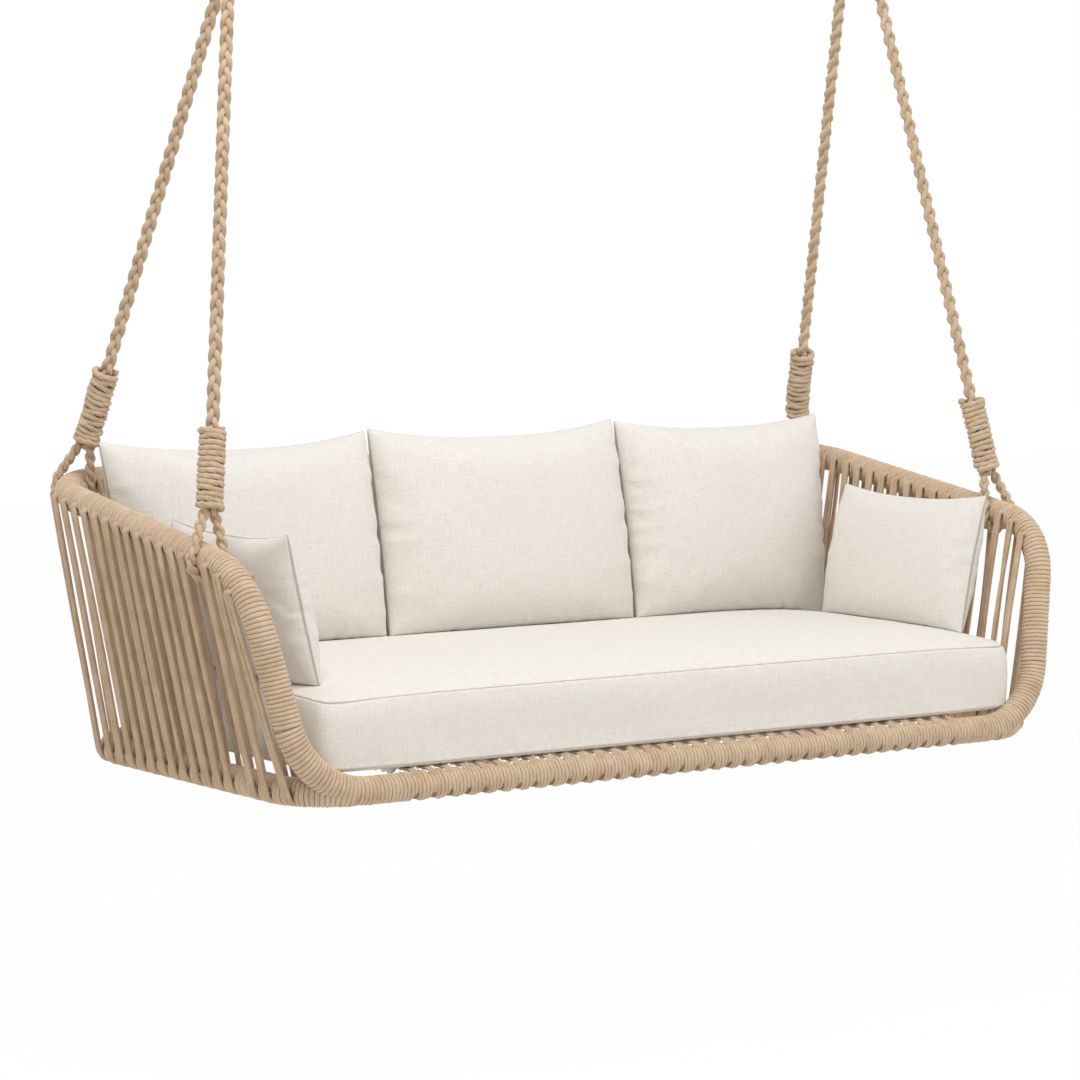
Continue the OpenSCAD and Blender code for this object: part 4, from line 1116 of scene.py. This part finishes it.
bulge = 0.003 * (1 - (2 * between - 1) ** 2) - 0.0065 * np.clip(2 * between - 1, 0, 1) ** 5
profile_in = np.concatenate([bottom_in, 0.0005 - bulge, FOLD + top_in])
profile_z = np.concatenate([bottom_z, side_z, np.full(len(top_in), TOP_SEAM)])
to_seam = np.minimum(side_z - BOTTOM_SEAM, TOP_SEAM - side_z)
from_seam = np.concatenate([np.full(len(bottom_in), 0.05), to_seam, top_in])[:, None]
BOTTOM_ROWS = len(bottom_in)
TOP_ROWS = BOTTOM_ROWS + len(side_z)
row = np.arange(len(profile_in))[:, None]
on_side, on_top = (row >= BOTTOM_ROWS) & (row < TOP_ROWS), row >= TOP_ROWS

grid = np.empty((len(profile_in), COLUMNS, 3))
grid[..., :2] = outline[None] * (np.array([SEAT_HALF, SEAT_DEPTH / 2]) - profile_in[:, None, None])
grid[..., 1] += SEAT_MIDDLE
grid[..., 2] = SEAT_LOW + profile_z[:, None]
grid[BOTTOM_ROWS:TOP_ROWS, :, 2] -= between[:, None] * corner_drop(outline[:, 0], outline[:, 1])[None]
inner = grid[TOP_ROWS:]
inner[..., 2] = seat_top(inner[..., 0] * 0.9999, SEAT_MIDDLE + (inner[..., 1] - SEAT_MIDDLE) * 0.9999)
print("seat rows: bottom", BOTTOM_ROWS, "side", len(side_z), "top", len(top_in))

# %% Seat cushion relief
GROOVE_DEPTH, WELT, PUCKER, FOLDS = 0.0014, 0.0007, 0.0007, 0.0009
HANG_DEPTH, FORWARD = 0.0155, 0.0045
rng = np.random.default_rng(61)
waves = sum(a * np.sin(2 * np.pi * k * even / girth + rng.uniform(0, 6.28))
            for a, k in ((0.5, 97), (0.7, 131), (0.6, 173), (0.4, 227)))
rising = 22 * profile_z[:, None]
long_waves = sum(a * np.sin(2 * np.pi * k * even[None] / girth + rising + rng.uniform(0, 6.28))
                 for a, k in ((0.6, 9), (0.5, 15), (0.5, 23)))
groove = GROOVE_DEPTH * np.exp(-(from_seam / 0.0011) ** 2)
welt = WELT * np.exp(-((from_seam - 0.0040) / 0.0022) ** 2)
pucker = PUCKER * np.exp(-from_seam / 0.011) * (from_seam > 0.001) * waves[None]
soft = np.where(from_seam > 0.02, 1.0, from_seam / 0.02) * long_waves * FOLDS
move = welt - groove + pucker + soft
outward = np.gradient(outline, axis=0) @ np.array([[0, -1.0], [1.0, 0]])
outward /= np.linalg.norm(outward, axis=1)[:, None]
grid[..., :2] += np.where(on_side, move, 0)[..., None] * outward[None]
grid[..., 2] += np.where(on_top & (from_seam < 0.34), move * np.exp(-from_seam / 0.09), 0)
# Marks each seam's middle, where the linen paints shade in the crease.
sewn = np.exp(-(from_seam / 0.0012) ** 2) * np.ones(COLUMNS)

beside = np.abs(grid[..., 0] - np.round(grid[..., 0] / deck_pitch) * deck_pitch)
behind = grid[..., 1] - SEAT_FRONT
inside = np.clip((0.76 - np.abs(grid[..., 0])) / 0.04, 0, 1)
hangs = np.clip((beside - 0.008) / 0.010, 0, 1) * inside
hangs *= np.clip((behind - 0.018) / 0.026, 0, 1) * np.clip((0.32 - behind) / 0.15, 0, 1)
grid[:BOTTOM_ROWS, :, 2] -= (HANG_DEPTH * hangs ** 2 * (3 - 2 * hangs))[:BOTTOM_ROWS]
low = np.clip(1 - profile_z / 0.05, 0, 1)[:, None] * np.clip((0.05 - behind) / 0.04, 0, 1) * inside
grid[..., 1] -= FORWARD * low
print("seat relief from", move.min().round(4), "to", move.max().round(4), "m")

# %% Seat cushion mesh
rows, columns = np.meshgrid(np.arange(len(profile_in) - 1), np.arange(COLUMNS), indexing="ij")
here, after = rows * COLUMNS + columns, rows * COLUMNS + (columns + 1) % COLUMNS
quads = np.stack([here, after, after + COLUMNS, here + COLUMNS], axis=-1)
quads = quads.reshape(-1, 4)
run_z = np.concatenate([[0], np.cumsum(np.hypot(np.diff(profile_in), np.diff(profile_z)))])
u0 = columns * girth / COLUMNS
u1 = u0 + girth / COLUMNS
v0, v1 = run_z[rows], run_z[rows + 1]
uv = np.stack([u0, v0, u1, v0, u1, v1, u0, v1], axis=-1).reshape(-1, 4, 2)
flat_part = (rows < BOTTOM_ROWS - 1) | (rows >= TOP_ROWS - 1)
plan = grid.reshape(-1, 3)[quads][..., :2]
uv = np.where(flat_part.reshape(-1, 1, 1), plan, uv)
mesh = faces_to_mesh("seat_cushion_cover", grid.reshape(-1, 3) + BASKET, quads.tolist(), uv)
mesh.attributes.new("seam", "FLOAT", "POINT").data.foreach_set("value", sewn.ravel())
work = bmesh.new()
work.from_mesh(mesh)
bmesh.ops.remove_doubles(work, verts=work.verts, dist=2e-5)
work.to_mesh(mesh)
work.free()
seat = settle(mesh, "seat_cushion", ["seat_cushion"], linen)
print(seat.name, triangles(seat), "triangles")

# %% [markdown]
# ## Filled cushions
# A back cushion or a pillow is two flat panels sewn edge to edge and stuffed. Its sides draw in between
# pointed corners, because the cloth can't stretch and has to come from somewhere. One could model that
# outline and its wrinkles by hand. Here the two flat panels are sewn in code and blown up by cloth
# simulation, as filling does, and the result is then measured and fitted to the cushion's own size.

# %% Filled form
BACK = dict(lean=11, turn=0, left=False)
PILLOW = dict(size=(0.495, 0.310, 0.130), foot=0.0, middle=(0.861, 0.362, 0.340), lean=13.076, turn=-89,
              draw=(0.030, 0.135))
COVER = {
    "back_cushion_left": dict(BACK, size=(0.660, 0.462, 0.190), foot=-0.045, middle=(-0.632, 0.757, 0.400),
                              draw=(0.010, 0.130)),
    "back_cushion_centre": dict(BACK, size=(0.660, 0.462, 0.190), foot=0.0, middle=(0.031, 0.757, 0.400),
                                draw=(0.010, 0.130)),
    "back_cushion_right": dict(BACK, size=(0.590, 0.462, 0.190), foot=0.045, middle=(0.659, 0.757, 0.400),
                               draw=(0.012, 0.110)),
    "side_pillow_left": dict(PILLOW, left=True),
    "side_pillow_right": dict(PILLOW, left=False),
}
CELL, PRESSURE, FRAMES = 0.0085, 6.0, 24


def two_panels(size, cell):
    """A closed pair of panels: u, v and face of each point, the quads, their UV in metres, the point grid.

    The front panel has every point of the grid. The back one shares the front's edge, so the seam is sewn.
    """
    nu, nv = int(size[0] / cell), int(size[1] / cell)
    i, j = np.meshgrid(np.arange(nu + 1), np.arange(nv + 1), indexing="ij")
    edge = (i == 0) | (i == nu) | (j == 0) | (j == nv)
    front = np.arange((nu + 1) * (nv + 1)).reshape(nu + 1, nv + 1)
    back = front.copy()
    back[~edge] = front.size + np.arange((~edge).sum())
    u = np.concatenate([i.ravel(), i[~edge]]) / nu * 2 - 1
    v = np.concatenate([j.ravel(), j[~edge]]) / nv * 2 - 1
    face = np.concatenate([np.where(edge, 0, 1).ravel(), np.full((~edge).sum(), -1)])

    def quads(number, flip):
        """The quads between neighbours of a grid of point numbers, turned over if they are to face back."""
        q = np.stack([number[:-1, :-1], number[1:, :-1], number[1:, 1:], number[:-1, 1:]], axis=-1)
        return q.reshape(-1, 4)[:, ::-1] if flip else q.reshape(-1, 4)

    faces = np.concatenate([quads(front, False), quads(back, True)])
    uv = np.stack([u[faces] * size[0] / 2, v[faces] * size[1] / 2], axis=-1)
    uv[len(faces) // 2:] += [3.0, 1.0]
    return u, v, face, faces, uv, front


def plump(size, u, v, face):
    """The form a stuffed pair of panels comes near to: thickness sqrt((1 - |u|^2.6)(1 - |v|^2.6))."""
    z = face * size[2] / 2 * np.sqrt(np.clip((1 - np.abs(u) ** 2.6) * (1 - np.abs(v) ** 2.6), 0, None))
    return np.stack([u * size[0] / 2, v * size[1] / 2, z], axis=-1)


def blown_up(points, faces, thickness):
    """The points after cloth simulation, and the frames it took until the blown panels were thick enough."""
    mesh = bpy.data.meshes.new("sewn_panels")
    mesh.from_pydata(points.tolist(), [], faces.tolist())
    work = bpy.data.objects.new("sewn_panels", mesh)
    bpy.context.collection.objects.link(work)
    cloth = work.modifiers.new("Cloth", "CLOTH")
    s = cloth.settings
    s.quality, s.mass, s.air_damping = 6, 0.25, 1.0
    s.tension_stiffness = s.compression_stiffness = 22.0
    s.shear_stiffness, s.bending_stiffness = 8.0, 0.35
    s.tension_damping = s.compression_damping = s.shear_damping = 8.0
    s.use_pressure, s.uniform_pressure_force = True, PRESSURE
    s.effector_weights.gravity = 0.0
    cloth.collision_settings.use_collision = False
    cloth.point_cache.frame_start, cloth.point_cache.frame_end = 1, FRAMES
    scene = bpy.context.scene
    for step in range(1, FRAMES + 1):
        scene.frame_set(step)
        shaped = work.evaluated_get(bpy.context.evaluated_depsgraph_get()).data
        co = np.empty(len(points) * 3, np.float32)
        shaped.vertices.foreach_get("co", co)
        result = co.reshape(-1, 3).astype(float)
        if np.ptp(result[:, 2]) > thickness:
            break
    bpy.data.objects.remove(work)
    scene.frame_set(1)
    return result, step


# %% [markdown]
# The simulated panels come out at their own size, so each is scaled to the cushion's width, height and
# thickness and taken into its outline: the top sags between two ears, and the bottom is straight. Then it
# is set down on the seat, 12 mm deep, and what lies below the seat's top is pushed up to it, so that it
# rests on a flat foot.

# %% Filled cushions
SINK, REST, WRINKLED = 0.012, 0.0004, 0.45


def leaning_axes(lean, turn):
    """Across, up and out of a cushion that leans back and is turned about the vertical, both in degrees."""
    a, b = np.radians(lean), np.radians(turn)
    return np.array([[np.cos(b), np.sin(b), 0],
                     [-np.sin(a) * np.sin(b), np.sin(a) * np.cos(b), np.cos(a)],
                     [np.cos(a) * np.sin(b), -np.cos(a) * np.cos(b), np.sin(a)]])


def fitted(points, u, v, front, size, draw):
    """Points scaled so that the outline is the cushion's: sides and top drawn in, the bottom straight.

    A row's edges go to size (1 - draw (1 - v^2)) / 2 and a column's top to size (1 - draw (1 - |u|^2.4)) / 2.
    A point in between keeps its share of the way.
    """
    rows, columns = np.linspace(-1, 1, front.shape[1]), np.linspace(-1, 1, front.shape[0])
    left, right = points[front[0], 0], points[front[-1], 0]
    low, top = points[front[:, 0], 1], points[front[:, -1], 1]
    x = (points[:, 0] - np.interp(v, rows, left)) / np.interp(v, rows, right - left) * 2 - 1
    y = (points[:, 1] - np.interp(u, columns, low)) / np.interp(u, columns, top - low) * 2 - 1
    wide = size[0] / 2 * (1 - draw[0] * (1 - v ** 2))
    high = size[1] / 2 * (1 - draw[1] * (1 - np.abs(u) ** 2.4) * (1 + y) / 2)
    return np.stack([x * wide, y * high, points[:, 2] * size[2] / np.ptp(points[:, 2])], axis=-1)


def filled_cushion(node, size, foot, middle, lean, turn, left, draw):
    """One filled cover: two panels blown up and fitted, leant into place, and set down on the seat.

    foot moves the lower corner on one side outward. The cover is sheared so that its hem follows the seat's
    top, and no point lies lower than REST above it.
    """
    tall = (size[0], size[1] + SINK, size[2])
    u, v, face, faces, uv, front = two_panels(tall, CELL)
    flat = plump((tall[0] * 1.05, tall[1] * 1.07, 0.008), u, v, face)
    blown, steps = blown_up(flat, faces, size[2])
    print(node, "blown up in", steps, "frames to", np.ptp(blown, axis=0).round(3))
    points = fitted(blown, u, v, front, tall, (0, 0)) * WRINKLED
    points = points + plump(tall, u, v, face) * (1 - WRINKLED)
    points = fitted(points, u, v, front, tall, draw)
    points[:, 0] -= foot * (1 - v) * (1 + np.sign(foot) * u) / 4
    points = points @ leaning_axes(lean, turn) + middle
    hem = points[front[:, 0]]
    on_seat = np.clip(hem[:, 0], -SEAT_HALF + 0.01, SEAT_HALF - 0.01)
    gap = hem[:, 2] - seat_top(on_seat, hem[:, 1]) + SINK
    shear = np.interp(u, np.linspace(-1, 1, len(gap)), gap - gap.mean())
    points[:, 2] -= gap.mean() + shear * ((1 - v) / 2) ** 2
    top = seat_top(points[:, 0], points[:, 1])
    points[:, 2] = np.where(top > 0, np.maximum(points[:, 2], top + REST), points[:, 2])
    points = points + BASKET
    if left:
        points, faces, uv = points * [-1, 1, 1], faces[:, ::-1], uv[:, ::-1]
    mesh = faces_to_mesh(node + "_cover", points, faces.tolist(), uv)
    # The edge points, where the two panels meet, get the linen's painted seam shade.
    mesh.attributes.new("seam", "FLOAT", "POINT").data.foreach_set("value", (face == 0).astype(float))
    piece = settle(mesh, node, [node], linen)
    smooth = piece.modifiers.new("Subdivision", "SUBSURF")
    smooth.levels = smooth.render_levels = 1
    print(piece.name, triangles(piece), "triangles before it is subdivided")


for node, facts in COVER.items():
    filled_cushion(node, **facts)
